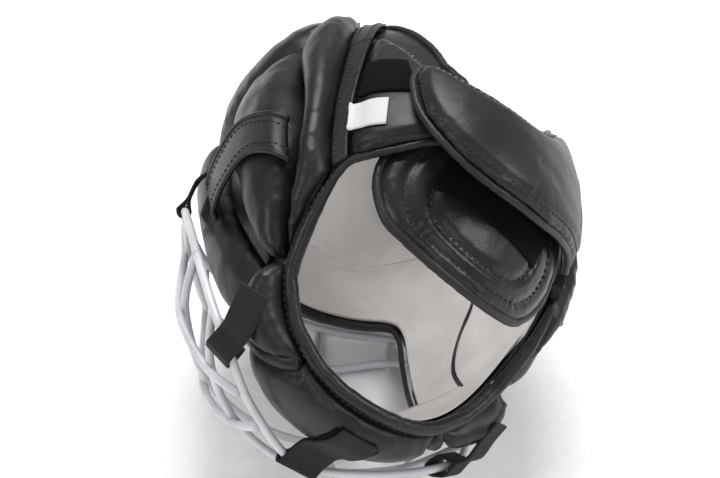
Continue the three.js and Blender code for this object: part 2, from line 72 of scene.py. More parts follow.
def colour(code):
    """Linear colour with alpha from an sRGB hex code."""
    parts = [int(code[i : i + 2], 16) / 255 for i in (1, 3, 5)]
    return (*[p / 12.92 if p <= 0.04045 else ((p + 0.055) / 1.055) ** 2.4 for p in parts], 1.0)


def place(point):
    """A point of the upright helmet, in millimetres, where it is as the helmet lies."""
    return TURN @ (Vector(point) * MM) + HEAD_AT


def unplace(point):
    """A point as the helmet lies, back in the upright helmet's millimetres."""
    return TURN.transposed() @ (point - HEAD_AT) / MM


def head_reach(azimuth, elevation, offset):
    """Direction from the middle of the head and the distance to its surface plus an offset."""
    a, e = math.radians(azimuth), math.radians(elevation)
    depth = (FRONT if math.cos(a) > 0 else BACK) + offset
    across = abs(math.sin(a) / (HALF_WIDTH + offset)) ** PLAN_POWER
    along = abs(math.cos(a) / depth) ** PLAN_POWER
    plan = (across + along) ** (-1 / PLAN_POWER)
    power = UP_POWER if e > 0 else DOWN_POWER
    height = (UP if e > 0 else DOWN) + offset
    reach = ((math.cos(e) / plan) ** power + abs(math.sin(e) / height) ** power) ** (-1 / power)
    direction = Vector((math.cos(e) * math.sin(a), -math.cos(e) * math.cos(a), math.sin(e)))
    return direction, reach


def head_point(azimuth, elevation, offset):
    direction, reach = head_reach(azimuth, elevation, offset)
    return place(direction * reach)


def head_offset(point):
    """How far a point as the helmet lies is from the head's surface."""
    spot = unplace(point)
    azimuth = math.degrees(math.atan2(spot.x, -spot.y))
    elevation = math.degrees(math.asin(max(-1, min(1, spot.z / spot.length))))
    return spot.length - head_reach(azimuth, elevation, 0)[1]


# The oval neck pad's own flat frame: aside, up and lift in millimetres
NECK_HALF = (65, 41)
NECK_BEND, NECK_LEAN, NECK_ROLL, NECK_ROUND = 100, -43, -8, 0.42
NECK_AT = Vector((1, 67.7, -86.6))
NECK_TURN = (
    Matrix.Rotation(math.radians(NECK_LEAN), 3, "X") @ Matrix.Rotation(math.radians(NECK_ROLL), 3, "Y")
)


def neck_point(aside, up, lift):
    bent = lift - aside**2 / (2 * NECK_BEND)
    return place(NECK_TURN @ Vector((aside, bent, up)) + NECK_AT)


def neck_oval(share, count=48):
    """Closed line round the neck pad at a share of its size."""
    line = []
    for i in range(count):
        angle = 2 * math.pi * i / count
        reach = max(abs(math.cos(angle)), abs(math.sin(angle)))
        u, v = math.cos(angle) / reach, math.sin(angle) / reach
        aside = NECK_HALF[0] * u * math.sqrt(1 - NECK_ROUND * v * v)
        up = NECK_HALF[1] * v * math.sqrt(1 - NECK_ROUND * u * u)
        line.append(neck_point(share * aside, share * up, 0))
    return line


# Lines


def smooth_line(points, per_span, closed=False):
    """Line of points that runs smoothly through the given ones."""
    pts = [Vector(p) for p in points]
    count = len(pts)
    line = []
    for i in range(count if closed else count - 1):
        if closed:
            a, b, c, d = pts[i - 1], pts[i], pts[(i + 1) % count], pts[(i + 2) % count]
        else:
            a, b, c, d = pts[max(i - 1, 0)], pts[i], pts[i + 1], pts[min(i + 2, count - 1)]
        for k in range(per_span):
            t = k / per_span
            bend = (2 * a - 5 * b + 4 * c - d) * t**2 + (3 * b - a - 3 * c + d) * t**3
            line.append((2 * b + (c - a) * t + bend) / 2)
    if not closed:
        line.append(pts[-1])
    return line


def even_line(line, step, closed=False):
    """Points and tangents at even steps along a line."""
    pts = [Vector(p) for p in line]
    if closed:
        pts.append(pts[0])
    found, left = [], step / 2
    for a, b in zip(pts, pts[1:]):
        span = (b - a).length
        while left < span:
            found.append((a.lerp(b, left / span), (b - a).normalized()))
            left += step
        left -= span
    return found


def mirrored(path):
    return [(-azimuth, elevation, *rest) for azimuth, elevation, *rest in path]


def whole(path):
    """A path given from one side to the middle, completed by its mirror image."""
    return [*path, *mirrored(path[:-1])[::-1]]


# Meshes and pieces


def link(name, data):
    thing = bpy.data.objects.new(name, data)
    bpy.context.scene.collection.objects.link(thing)
    return thing


def baked(thing, name):
    """The thing's mesh with its modifiers applied; the thing itself is removed."""
    mesh = bpy.data.meshes.new_from_object(thing.evaluated_get(bpy.context.evaluated_depsgraph_get()))
    mesh.name = name
    bpy.data.objects.remove(thing)
    return mesh


def to_mesh(bm, name):
    mesh = bpy.data.meshes.new(name)
    bm.to_mesh(mesh)
    bm.free()
    return mesh


def joined(name, meshes):
    bm = bmesh.new()
    for mesh in meshes:
        bm.from_mesh(mesh)
        bpy.data.meshes.remove(mesh)
    return to_mesh(bm, name)


def subdivided(name, mesh, levels):
    """The mesh made finer and rounder."""
    thing = link(name + "_shape", mesh)
    finer = thing.modifiers.new("Finer", "SUBSURF")
    finer.levels = finer.render_levels = levels
    return baked(thing, name)


def walled(name, bm, thick):
    """The sheet with a wall that grows from the back of its faces."""
    thing = link(name + "_sheet", to_mesh(bm, name))
    wall = thing.modifiers.new("Thick", "SOLIDIFY")
    wall.thickness = thick
    wall.offset = -1
    return baked(thing, name)


def node_copy(name, crease=0.0):
    """Copy of a CAD node's mesh with its loose triangles merged and its rims creased."""
    bm = bmesh.new()
    bm.from_mesh(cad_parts[name].data)
    bmesh.ops.remove_doubles(bm, verts=bm.verts, dist=NODE_MERGE)
    layer = bm.edges.layers.float.new("crease_edge")
    for edge in bm.edges:
        if edge.calc_face_angle(0) > RIM_ANGLE:
            edge[layer] = crease
    return to_mesh(bm, name)


# Share of a tapered rod's length that each of its ends takes
TAPER = 0.07


def tube(name, line, radius, closed=False, roundness=3, end=1.0):
    """Round rod along a line of points, whose ends may be thinner by a share."""
    curve = bpy.data.curves.new(name, "CURVE")
    curve.dimensions = "3D"
    curve.bevel_depth = radius
    curve.bevel_resolution = roundness
    curve.use_fill_caps = True
    spline = curve.splines.new("POLY")
    spline.points.add(len(line) - 1)
    last = len(line) - 1
    for i, (spot, point) in enumerate(zip(spline.points, line)):
        spot.co = (*point, 1)
        spot.radius = min(1, end + (1 - end) * min(i, last - i) / (TAPER * last))
    spline.use_cyclic_u = closed
    mesh = baked(link(name, curve), name)
    bm = bmesh.new()
    bm.from_mesh(mesh)
    bmesh.ops.remove_doubles(bm, verts=bm.verts, dist=MERGE)
    bmesh.ops.recalc_face_normals(bm, faces=bm.faces)
    bpy.data.meshes.remove(mesh)
    return to_mesh(bm, name)


# A draped sheet bridges what lies deeper than this below it
DRAPE_FALL = 2 * MM
# Its points fall from this height, and no further than this
DROP_FROM, DROP_REACH = 20 * MM, 60 * MM


def ribbon(name, rows, width, thick, columns, crown=0.0, onto=None):
    """Flat band with a UV map in metres, which grows inwards from its outer face.

    Each row starts with its middle, its side direction and its normal. With onto, which is a surface and a
    height above it, the band is draped.
    """
    bm = bmesh.new()
    last = len(rows) - 1
    bmesh.ops.create_grid(bm, x_segments=last, y_segments=columns, size=0.5)
    lengths = [0.0]
    for a, b in zip(rows, rows[1:]):
        lengths.append(lengths[-1] + (b[0] - a[0]).length)
    uv = bm.loops.layers.uv.new("cloth")
    for face in bm.faces:
        for loop in face.loops:
            spot = loop.vert.co
            loop[uv].uv = (lengths[round((spot.x + 0.5) * last)], spot.y * width)
    for vert in bm.verts:
        middle, side, normal = rows[round((vert.co.x + 0.5) * last)][:3]
        across = vert.co.y
        vert.co = middle + side * (across * width) + normal * (crown * (1 - 4 * across**2))
        hit = onto and dropped(onto[0], vert.co, normal)
        if hit:
            vert.co += normal * max((hit - vert.co).dot(normal) + onto[1], -DRAPE_FALL)
    bm.normal_update()
    facing = 0.0
    for face in bm.faces:
        middle = face.calc_center_median()
        near = min(rows, key=lambda row: (row[0] - middle).length)
        facing += face.normal.dot(near[2])
    if facing < 0:
        bmesh.ops.reverse_faces(bm, faces=bm.faces)
    return walled(name, bm, thick)


def dropped(tree, spot, normal):
    """Where a point lands on a surface when it falls along a normal."""
    return tree.ray_cast(spot + normal * DROP_FROM, -normal, DROP_REACH)[0]


def finish_piece(name, mesh, look, nodes=()):
    """Gives a mesh its finish, rides it on the helmet and hides the CAD nodes that it stands for."""
    mesh.materials.clear()
    mesh.materials.append(finish_of(look))
    for face in mesh.polygons:
        face.use_smooth = True
    piece = link(name, mesh)
    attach(piece, "root")
    if nodes:
        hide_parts(*nodes)
    return piece


def tree_of(*meshes):
    """One surface of several meshes, for rays and nearest points."""
    bm = bmesh.new()
    for mesh in meshes:
        bm.from_mesh(mesh)
    tree = BVHTree.FromBMesh(bm)
    bm.free()
    return tree


def tree_of_pieces(*names):
    return tree_of(*[bpy.data.objects[name].data for name in names])


def on_head(tree, azimuth, elevation):
    """Where a ray from outside to the middle of the head meets a surface, if it does."""
    start = head_point(azimuth, elevation, RAY_FROM)
    return tree.ray_cast(start, (HEAD_AT - start).normalized())[0]


def on_neck(tree, aside, up):
    """Where a ray from outside, square to the neck pad, meets a surface, if it does."""
    start = neck_point(aside, up, RAY_FROM)
    return tree.ray_cast(start, (neck_point(aside, up, 0) - start).normalized())[0]


def press(mesh, line, width, depth):
    """Sews a groove into a mesh along a line."""
    points = KDTree(len(line))
    for i, point in enumerate(line):
        points.insert(point, i)
    points.balance()
    normals = [v.normal.copy() for v in mesh.vertices]
    for vert, normal in zip(mesh.vertices, normals):
        far = points.find(vert.co)[2]
        if far < width:
            vert.co -= normal * (depth * (1 - (far / width) ** 2) ** 2)


# Materials


def add(tree, kind, links=None, stops=(), **settings):
    """Adds a shader node with its settings, its links and, on a ramp, its stops."""
    made = tree.nodes.new("ShaderNode" + kind)
    for key, value in settings.items():
        if hasattr(made, key):
            setattr(made, key, value)
        else:
            made.inputs[key.replace("_", " ")].default_value = value
    for i, (position, shade) in enumerate(stops):
        made.color_ramp.elements[i].position = position
        made.color_ramp.elements[i].color = shade
    for socket, source in (links or {}).items():
        tree.links.new(made.inputs[socket], source)
    return made


def new_finish(name, **sockets):
    finish = bpy.data.materials.new(name)
    finish.use_nodes = True
    tree = finish.node_tree
    shader = tree.nodes["Principled BSDF"]
    for key, value in sockets.items():
        shader.inputs[key.replace("_", " ")].default_value = value
    return finish, tree, shader


def spread(dark, light):
    """A ramp's stops that show both tones of a pattern whose values keep near the middle."""
    return (0.3, dark), (0.7, light)


def leather_finish(name, dark, light, roughness):
    """PU coated cloth, pressed with a fine hide grain.

    It gives soft broad highlights, which pebbles and creases break.
    """
    finish, tree, shader = new_finish(
        name, IOR=1.5, Specular_IOR_Level=0.27, Coat_Weight=0.05, Coat_Roughness=0.3
    )
    where = add(tree, "TexCoord").outputs["Object"]
    # Hide pebbles about 1.3 mm and pores 0.7 mm wide, a little coarser than real so that they show
    grain = add(tree, "TexVoronoi", {"Vector": where}, feature="SMOOTH_F1", Scale=1000 / 1.3)
    pores = add(tree, "TexNoise", {"Vector": where}, Scale=1000 / 0.7, Detail=2.0)
    # Soft creases of the cover about 16 mm apart, and duller and shinier patches about 45 mm wide
    crease = add(tree, "TexNoise", {"Vector": where}, Scale=1000 / 16, Detail=3.0, Distortion=0.6)
    patches = add(tree, "TexNoise", {"Vector": where}, Scale=1000 / 45, Detail=4.0)
    shade = add(tree, "ValToRGB", {"Fac": patches.outputs["Fac"]}, stops=spread(dark, light))
    tree.links.new(shader.inputs["Base Color"], shade.outputs["Color"])
    shine = add(
        tree,
        "MapRange",
        {"Value": patches.outputs["Fac"]},
        From_Min=0.3,
        From_Max=0.7,
        To_Min=roughness - 0.05,
        To_Max=roughness + 0.07,
    )
    tree.links.new(shader.inputs["Roughness"], shine.outputs["Result"])
    raised = add(tree, "Bump", {"Height": crease.outputs["Fac"]}, Strength=0.35, Distance=1.6 * MM)
    for height, strength, depth in (
        (grain.outputs["Distance"], 0.22, 0.25 * MM),
        (pores.outputs["Fac"], 0.12, 0.12 * MM),
    ):
        below = {"Height": height, "Normal": raised.outputs["Normal"]}
        raised = add(tree, "Bump", below, Strength=strength, Distance=depth)
    tree.links.new(shader.inputs["Normal"], raised.outputs["Normal"])
    return finish


def lining_finish(dark, light):
    """Brushed knit lining: a matt pale cloth with a soft nap and faint pulls."""
    finish, tree, shader = new_finish("Brushed polyester knit", Roughness=0.92, Sheen_Weight=0.25)
    where = add(tree, "TexCoord").outputs["Object"]
    # Nap about 1.6 mm wide, coarser than real so that it shows, and pulls about 34 mm apart
    nap = add(tree, "TexNoise", {"Vector": where}, Scale=1000 / 1.6, Detail=3.0)
    pulls = add(tree, "TexNoise", {"Vector": where}, Scale=1000 / 34, Detail=3.0)
    shade = add(tree, "ValToRGB", {"Fac": pulls.outputs["Fac"]}, stops=spread(dark, light))
    tree.links.new(shader.inputs["Base Color"], shade.outputs["Color"])
    soft = add(tree, "Bump", {"Height": pulls.outputs["Fac"]}, Strength=0.5, Distance=2.2 * MM)
    below = {"Height": nap.outputs["Fac"], "Normal": soft.outputs["Normal"]}
    fine = add(tree, "Bump", below, Strength=0.3, Distance=0.3 * MM)
    tree.links.new(shader.inputs["Normal"], fine.outputs["Normal"])
    return finish


# A wave texture's scale for bands one millimetre apart: it has twenty radians to a unit
WAVES = 1000 * 2 * math.pi / 20


def webbing_finish(dark, light):
    """Woven polypropylene tape: ribs across and yarns along, with a dull shine."""
    finish, tree, shader = new_finish("Woven polypropylene webbing", Roughness=0.75, Specular_IOR_Level=0.3)
    where = add(tree, "TexCoord").outputs["UV"]
    # Ribs 1.3 mm and yarns 1.6 mm apart, coarser than real so that they show
    ribs = add(tree, "TexWave", {"Vector": where}, bands_direction="X", Scale=WAVES / 1.3, Distortion=0.4)
    yarns = add(tree, "TexWave", {"Vector": where}, bands_direction="Y", Scale=WAVES / 1.6, Distortion=0.4)
    weave = add(tree, "Math", {0: ribs.outputs["Fac"], 1: yarns.outputs["Fac"]}, operation="ADD")
    shade = add(tree, "ValToRGB", {"Fac": weave.outputs["Value"]}, stops=((0.5, dark), (1.0, light)))
    tree.links.new(shader.inputs["Base Color"], shade.outputs["Color"])
    raised = add(tree, "Bump", {"Height": weave.outputs["Value"]}, Strength=0.5, Distance=0.3 * MM)
    tree.links.new(shader.inputs["Normal"], raised.outputs["Normal"])
    return finish


def loop_finish(dark, light):
    """Nylon loop pile of a hook and loop tape: very dark, with a short fuzzy nap."""
    finish, tree, shader = new_finish("Nylon loop pile", Roughness=1.0, Specular_IOR_Level=0.1)
    where = add(tree, "TexCoord").outputs["Object"]
    # Loops about 1.1 mm wide
    pile = add(tree, "TexNoise", {"Vector": where}, Scale=1000 / 1.1, Detail=4.0, Roughness=0.7)
    shade = add(tree, "ValToRGB", {"Fac": pile.outputs["Fac"]}, stops=spread(dark, light))
    tree.links.new(shader.inputs["Base Color"], shade.outputs["Color"])
    raised = add(tree, "Bump", {"Height": pile.outputs["Fac"]}, Strength=0.9, Distance=0.8 * MM)
    tree.links.new(shader.inputs["Normal"], raised.outputs["Normal"])
    return finish


def label_finish(dark, light):
    """Satin ribbon tape, left blank: a fine warp across a pale sheet."""
    finish, tree, shader = new_finish("Satin ribbon tape", Roughness=0.62, Sheen_Weight=0.15)
    where = add(tree, "TexCoord").outputs["UV"]
    # Warp 0.8 mm apart, coarser than real so that it shows
    warp = add(tree, "TexWave", {"Vector": where}, Scale=WAVES / 0.8, Distortion=0.3)
    shade = add(tree, "ValToRGB", {"Fac": warp.outputs["Fac"]}, stops=spread(dark, light))
    tree.links.new(shader.inputs["Base Color"], shade.outputs["Color"])
    raised = add(tree, "Bump", {"Height": warp.outputs["Fac"]}, Strength=0.2, Distance=0.1 * MM)
    tree.links.new(shader.inputs["Normal"], raised.outputs["Normal"])
    return finish


def cage_finish(dark, light):
    """Vinyl dipped steel wire: a smooth pale coat with a slight orange peel."""
    finish, tree, shader = new_finish("Vinyl dipped steel", IOR=1.5, Coat_Weight=0.2, Coat_Roughness=0.2)
    where = add(tree, "TexCoord").outputs["Object"]
    # Orange peel about 2.2 mm wide, and duller places about 30 mm apart
    peel = add(tree, "TexNoise", {"Vector": where}, Scale=1000 / 2.2, Detail=2.0)
    stain = add(tree, "TexNoise", {"Vector": where}, Scale=1000 / 30, Detail=3.0)
    shade = add(tree, "ValToRGB", {"Fac": stain.outputs["Fac"]}, stops=spread(dark, light))
    tree.links.new(shader.inputs["Base Color"], shade.outputs["Color"])
    shine = add(tree, "MapRange", {"Value": stain.outputs["Fac"]}, To_Min=0.3, To_Max=0.42)
    tree.links.new(shader.inputs["Roughness"], shine.outputs["Result"])
    raised = add(tree, "Bump", {"Height": peel.outputs["Fac"]}, Strength=0.15, Distance=0.15 * MM)
    tree.links.new(shader.inputs["Normal"], raised.outputs["Normal"])
    return finish


def thread_finish(dark, light):
    """Bonded nylon thread: dark, with a dull twist."""
    finish, tree, shader = new_finish("Bonded nylon thread", Roughness=0.6)
    where = add(tree, "TexCoord").outputs["Object"]
    # Twist about 0.8 mm long
    twist = add(tree, "TexNoise", {"Vector": where}, Scale=1000 / 0.8, Detail=1.0)
    shade = add(tree, "ValToRGB", {"Fac": twist.outputs["Fac"]}, stops=spread(dark, light))
    tree.links.new(shader.inputs["Base Color"], shade.outputs["Color"])
    return finish


def floor_finish(dark, light):
    """Seamless paper sweep: matt and almost white."""
    finish, tree, shader = new_finish("Seamless paper", Roughness=0.95)
    where = add(tree, "TexCoord").outputs["Object"]
    # Fibres as clouds about 8 mm wide, coarser than real so that they show
    fibre = add(tree, "TexNoise", {"Vector": where}, Scale=1000 / 8, Detail=3.0)
    shade = add(tree, "ValToRGB", {"Fac": fibre.outputs["Fac"]}, stops=spread(dark, light))
    tree.links.new(shader.inputs["Base Color"], shade.outputs["Color"])
    return finish


# Finishes that are made so far, and what they are made from
FINISHES = {}
LEATHERS = {
    "leather": {"title": "PU leather", "tint": "leather", "roughness": 0.4},
    "strap_leather": {"title": "PU strap leather", "tint": "strap", "roughness": 0.44},
    "neck_leather": {"title": "Glossy PU leather", "tint": "leather", "roughness": 0.31},
}
OTHER_FINISHES = {
    "lining": lining_finish,
    "webbing": webbing_finish,
    "loop": loop_finish,
    "label": label_finish,
    "cage": cage_finish,
    "thread": thread_finish,
    "floor": floor_finish,
}


def tones(tint):
    """The darker and the lighter colour of a finish from the sidebar."""
    tints = bpy.context.scene.helmet_colours
    return getattr(tints, tint + "_dark"), getattr(tints, tint + "_light")


def finish_of(name):
    """The helmet's finishes, made once."""
    if not FINISHES:
        for key, row in LEATHERS.items():
            FINISHES[key] = leather_finish(row["title"], *tones(row["tint"]), row["roughness"])
        for key, make in OTHER_FINISHES.items():
            FINISHES[key] = make(*tones(key))
    return FINISHES[name]


# Tables


# Stuffed pieces: how full they are, how far they may swell, how much further their crowns stand out, and
# the height and spacing of their folds across and along the upright helmet, in millimetres
PADS = {
    "front_shell": {"fill": 0.7, "swell": 4, "plump": 0.6, "fold": 0.8, "across": 26, "up": 40},
    "crown_pad_middle": {"fill": 0.7, "swell": 4, "plump": 1.3, "fold": 0.7, "across": 30, "up": 30},
    "crown_pad_left": {"fill": 0.7, "swell": 4, "plump": 1.3, "fold": 0.9, "across": 26, "up": 30},
    "crown_pad_right": {"fill": 0.7, "swell": 4, "plump": 1.3, "fold": 0.9, "across": 26, "up": 30},
    "ear_pad_left": {"fill": 0.8, "swell": 5, "plump": 1.3, "fold": 1.1, "across": 20, "up": 60},
    "ear_pad_right": {"fill": 0.8, "swell": 5, "plump": 1.3, "fold": 1.1, "across": 20, "up": 60},
    "side_panel_left": {"fill": 0.7, "swell": 4, "plump": 1.3, "fold": 1.3, "across": 22, "up": 80},
    "side_panel_right": {"fill": 0.7, "swell": 4, "plump": 1.3, "fold": 1.3, "across": 22, "up": 80},
    "back_flap_left": {"fill": 0.4, "swell": 1.5, "plump": 1.3, "fold": 0.5, "across": 24, "up": 30},
    "closure_flap": {"fill": 0.4, "swell": 1.5, "plump": 1.3, "fold": 0.6, "across": 60, "up": 26},
    "jaw_pad_left": {"fill": 0.7, "swell": 4, "plump": 6.5, "fold": 1.0, "across": 30, "up": 20},
    "jaw_pad_right": {"fill": 0.7, "swell": 4, "plump": 4, "fold": 1.0, "across": 30, "up": 20},
    "chin_pad": {"fill": 0.7, "swell": 4, "plump": 6, "fold": 1.0, "across": 34, "up": 20},
    "neck_pad": {"fill": 0.5, "swell": 2, "plump": 1.3, "fold": 0.8, "across": 40, "up": 18},
}
# Sewn edges stay where they are: points of a pad closer to the head than this don't swell
SEWN_OFFSET = 6.0
# Points further out than this are smoothed after remeshing
CROWN_OFFSET = 8.5
# Flat pieces, which keep their remeshed rims
FLAPS = ("back_flap_left", "closure_flap")
# Folds: millimetres of arc in a degree, their spacing in depth, and how much finer their ripples are
ARC, FOLD_DEEP, RIPPLES = 1.6, 60, 2.3
RIPPLES_AT = Vector((7.1, 3.3, 1.7))
# They start this far from the head, are full after a rise, and run out towards the top of the head
FOLD_FOOT, FOLD_RISE, FOLD_POLE = 3, 8, 1.3
# Ridges of the noise above this are dents, and dents and ripples have this share of a fold's height
RIDGE_FROM, FOLD_SHARE = 0.55, 0.7
# Sewn rows round the neck pad at shares of its size, with their grooves in millimetres
NECK_SEAMS = ({"share": 0.83, "depth": 1.6}, {"share": 0.6, "depth": 1.8})
NECK_SEAM_WIDTH = 5

# Rows of stitches by azimuth and elevation on the piece below them
NECK_EDGE = [
    (114, -33.4), (99.5, -40), (80.2, -46), (72, -49.6), (66, -52.4), (60, -55.2), (45.5, -61.6),
    (30, -66), (15, -68.2), (0, -68.9),
]
FLAP_TOP = [
    (147, -16), (149, -11.5), (158, -18.5), (168, -22.5), (178, -23), (189, -18.5), (199, -5),
    (208, 8.5), (213, 18),
]
FLAP_FOOT = [
    (147, -25), (150, -32.5), (158, -40), (168, -43.5), (178, -44.5), (190, -44), (204, -40.5),
    (219, -35), (229, -30.5),
]
FLAP_EDGE_STITCH = [*FLAP_TOP[::-1], *FLAP_FOOT]
FLAP_SEAM = [(213, -33), (207, -12), (207, 5)]
CHIN_SEAM = [(42.6, -59.5), (42.6, -52), (42.6, -43)]
JAW_SEAM = [(48, -58.5), (48, -51), (48, -42)]
BACK_FOOT = [(124, -30), (134, -31.3), (147, -31), (153, -29)]
BACK_EDGE = [(142.6, 17.5), (147.6, 6), (152.2, -6)]
STITCH_ROWS = [
    {"piece": "closure_flap", "path": FLAP_EDGE_STITCH, "depth": 1.4, "width": 5.0},
    {"piece": "closure_flap", "path": FLAP_SEAM, "depth": 1.2, "width": 5.0},
    {"piece": "chin_pad", "path": CHIN_SEAM, "depth": 2.2, "width": 6.0},
    {"piece": "chin_pad", "path": mirrored(CHIN_SEAM), "depth": 2.2, "width": 6.0},
    {"piece": "jaw_pad_left", "path": JAW_SEAM, "depth": 2.2, "width": 6.0},
    {"piece": "jaw_pad_right", "path": mirrored(JAW_SEAM), "depth": 2.2, "width": 6.0},
    {"piece": "back_flap_left", "path": BACK_FOOT, "depth": 1, "width": 4},
    {"piece": "back_flap_left", "path": BACK_EDGE, "depth": 1, "width": 4},
]
# Stitches on bands, at shares of the band's width from its middle
EAR_STITCHES = (-0.3, 0.3)
STRIP_STITCHES = (-0.27, 0.27)
# The thread's middle lies this far above the surface
THREAD_LIFT = 0.2 * MM

# Edge bindings by azimuth, elevation and offset
FLAP_BINDING = [
    (215, 22.5, 6), (208, 12, 6.6), (199, -2, 9), (189, -16, 12.8), (178, -21, 16.6), (168, -20.5, 18.6),
    (158, -16.5, 19), (150.5, -9.8, 19), (146, -13.5, 19), (144.8, -20, 19), (145.2, -27, 19),
    (149, -35, 19), (158, -43, 19), (168, -46.5, 18.6), (178, -47.5, 16.6), (190, -47, 12.8),
    (204, -43.5, 8.8), (219, -38, 6.3), (231, -34, 5.8),
]
BACK_BINDING = [
    (139.4, 22.9, 5.4), (144.2, 18.4, 5.6), (149.8, 6.2, 5.6), (154.4, -8, 5.6), (156.4, -18, 5.6),
    (155, -31.4, 5.6), (146, -34, 5.6), (132.5, -34.8, 5.6), (121.6, -33.6, 5.6), (115.5, -35.6, 5.8),
    (111, -38, 6.2),
]
WINDOW_EDGE = [
    (41.1, -38.8, 4.5), (41.1, -25.2, 4.5), (42.1, -6.5, 4.5), (43.2, 8.3, 4.5), (40.6, 16.2, 4.5),
    (31, 18.8, 4.5), (15.2, 20.2, 4.5), (0, 20.6, 4.5),
]
# The window's edge is folded below its piping
FOLD_OFFSET = 2.7
# Welts close the seams beside the chin pad, and the slits run up in front of the ears
CHIN_WELT = [(45.3, -60.4, 8), (45.3, -56, 12), (45.3, -50, 13.5), (45.3, -44, 12), (45.3, -41, 8)]
SLIT_EDGE = [(63.2, -39, 0.5), (60.2, -25, 0.5), (66.2, -7, 0.5), (78, 8, 0.5)]
SLIT_RADIUS, FOLD_RADIUS, WELT_RADIUS = 1.2 * MM, 1.7 * MM, 6 * MM
# The rolled neck edge and its stitches: degrees below the edge and offsets; rolls and welts have thin ends
ROLL_BELOW, ROLL_OFFSET = 2.9, 6.5
ROLL_STITCH_BELOW, ROLL_STITCH_OFFSET = 1.6, 10.4
THIN_END = 0.5
# The neck pad's edging is this much thicker than the flaps'
NECK_EDGING = 1.25

# Bands on the head: their edges by azimuth and elevation, and their offset
EAR_STRAP = [
    {"low": (64.5, -5.5), "high": (63.5, 9.5), "offset": 20.6},
    {"low": (79, -9.5), "high": (80, 8.5), "offset": 25.4},
    {"low": (92, -13), "high": (93, 5), "offset": 28.2},
    {"low": (103.5, -22.5), "high": (106.5, -9), "offset": 25.8},
]
SEAM_STRIP = [
    {"low": (114.8, -32.9), "high": (120.6, -32.9), "offset": 10.4},
    {"low": (124.7, 0), "high": (131.3, 0), "offset": 10.4},
    {"low": (132, 23), "high": (138.8, 23), "offset": 10.4},
]

# The left strip goes on over the nape sheet to the crown
STRIP_TOP = [
    {"low": (131.6, 21.5), "high": (138.4, 21.5), "offset": 10.0},
    {"low": (135, 33), "high": (142.4, 32), "offset": 8.0},
    {"low": (139.6, 45.5), "high": (148, 43), "offset": 5.0},
]

# Steps along each span of a band, and columns across it
EAR_STEPS, SEAM_STEPS, TOP_STEPS, PATCH_STEPS = 16, 20, 10, 8
BAND_COLUMNS = 8
# Ear straps: heights of the outer face and of the stitches over the pads, wall, crown and bound edges
EAR_LIFT, EAR_STITCH_LIFT = 1.9 * MM, 2.3 * MM
EAR_WALL, EAR_CROWN = 2.0 * MM, 0.5 * MM
EAR_EDGE_RADIUS, EAR_EDGE_SINK = 1.7 * MM, 0.6 * MM
TOP_WALL, TOP_CROWN = 2.4 * MM, 0.4 * MM
# How sharp the rims of the strips, gussets and linings stay when they are subdivided
BAND_CREASE, LINING_CREASE = 0.85, 1.0
# How a band is laid: where it feels the pads across its width, from how high, how far it falls where there
# are none, and how often it is pulled taut
FEEL_AT = (-0.45, -0.2, 0, 0.2, 0.45)
FEEL_FROM, FEEL_REACH, NO_PAD = 25 * MM, 60 * MM, -2 * MM
TAUT_PASSES = 300
# Rows that are tucked in at its ends, and how deep
FRONT_TUCK, REAR_TUCK = {"rows": 5, "depth": 3.5}, {"rows": 7, "depth": 8}

# Patches: what each lies on, its finish, its wall and its edges
PATCHES = {
    "back_loop_patch": {
        "below": "back_flap_left_cover",
        "look": "loop",
        "wall": 1.5 * MM,
        "rows": [
            {"low": (129.5, -13), "high": (134.4, 2.5), "offset": 15.2},
            {"low": (138, -15.6), "high": (140.4, 0.2), "offset": 15.2},
            {"low": (146, -18), "high": (146, -2), "offset": 15.2},
        ],
    },
    "chin_loop_patch": {
        "below": "chin_pad_cover",
        "look": "loop",
        "wall": 1.5 * MM,
        "rows": [
            {"low": (-14, -65.6), "high": (-11, -59.2), "offset": 19.0},
            {"low": (0, -65.6), "high": (0, -59.2), "offset": 19.0},
            {"low": (14, -65.6), "high": (11, -59.2), "offset": 19.0},
        ],
    },
    "blank_label": {
        "below": "back_flap_left_cover",
        "look": "label",
        "wall": 0.6 * MM,
        "rows": [
            {"low": (123.8, -25), "high": (126.6, -15.6), "offset": 15.0},
            {"low": (129.6, -26.5), "high": (132.3, -17.1), "offset": 15.4},
            {"low": (135.4, -28), "high": (138, -18.6), "offset": 15.4},
        ],
    },
}
PATCH_LIFT, PATCH_COLUMNS = 1.3 * MM, 10
# The strip on the neck pad in the pad's own millimetres, with a lift above it that gives its normals
STRIP_HALF, STRIP_UP, STRIP_LIFT, STRIP_ABOVE, STRIP_WIDTH = 40, 8, 9.6, 12, 20
STRIP_STEPS = 32
STRIP_WALL, STRIP_OVER = 1.5 * MM, 1.2 * MM

# Cage wires of the wearer's left half, from the end to the middle, in the upright helmet's millimetres
CAGE_RIM = [
    (104.5, -62, -38), (105.5, -62.5, -20), (103, -70, 22), (86, -89, 47), (48, -116, 63), (0, -125, 68),
]
CAGE_CHIN = [(105, -62, -30), (97, -63, -78), (83, -70, -102), (47, -95, -109), (0, -113, -110)]
CAGE_BARS = [
    [(105, -66.5, 4), (80, -95.5, 25), (43.5, -125, 26), (0, -132, 26)],
    [(104, -62, -35), (87, -98, -38), (46, -132, -42), (0, -142, -44)],
    [(95, -64, -81), (74, -96, -84), (40, -120, -86), (0, -129, -88)],
]
# Uprights are welded on the outside of the bars
UPRIGHT_OUT = 3.6
UPRIGHTS = [
    {"top": (45, -118.6, 64), "bar": 2, "foot": (36, -101, -110)},
    {"top": (82, -90, 49), "bar": 1, "foot": (58, -88, -108.5)},
]

# Webbing: seats by azimuth, elevation and offset, the wire each band turns round, and the room it takes
WRAP_TURNS = (90, 112, 135, 158, 180, 202, 225, 248, 270)
# Distance of its two sewn runs, of the seam behind the wire and of the outer face over the pads
STRAP_BELOW, STRAP_PINCH, SEAT_LIFT = 2.2, 3.0, 2.4
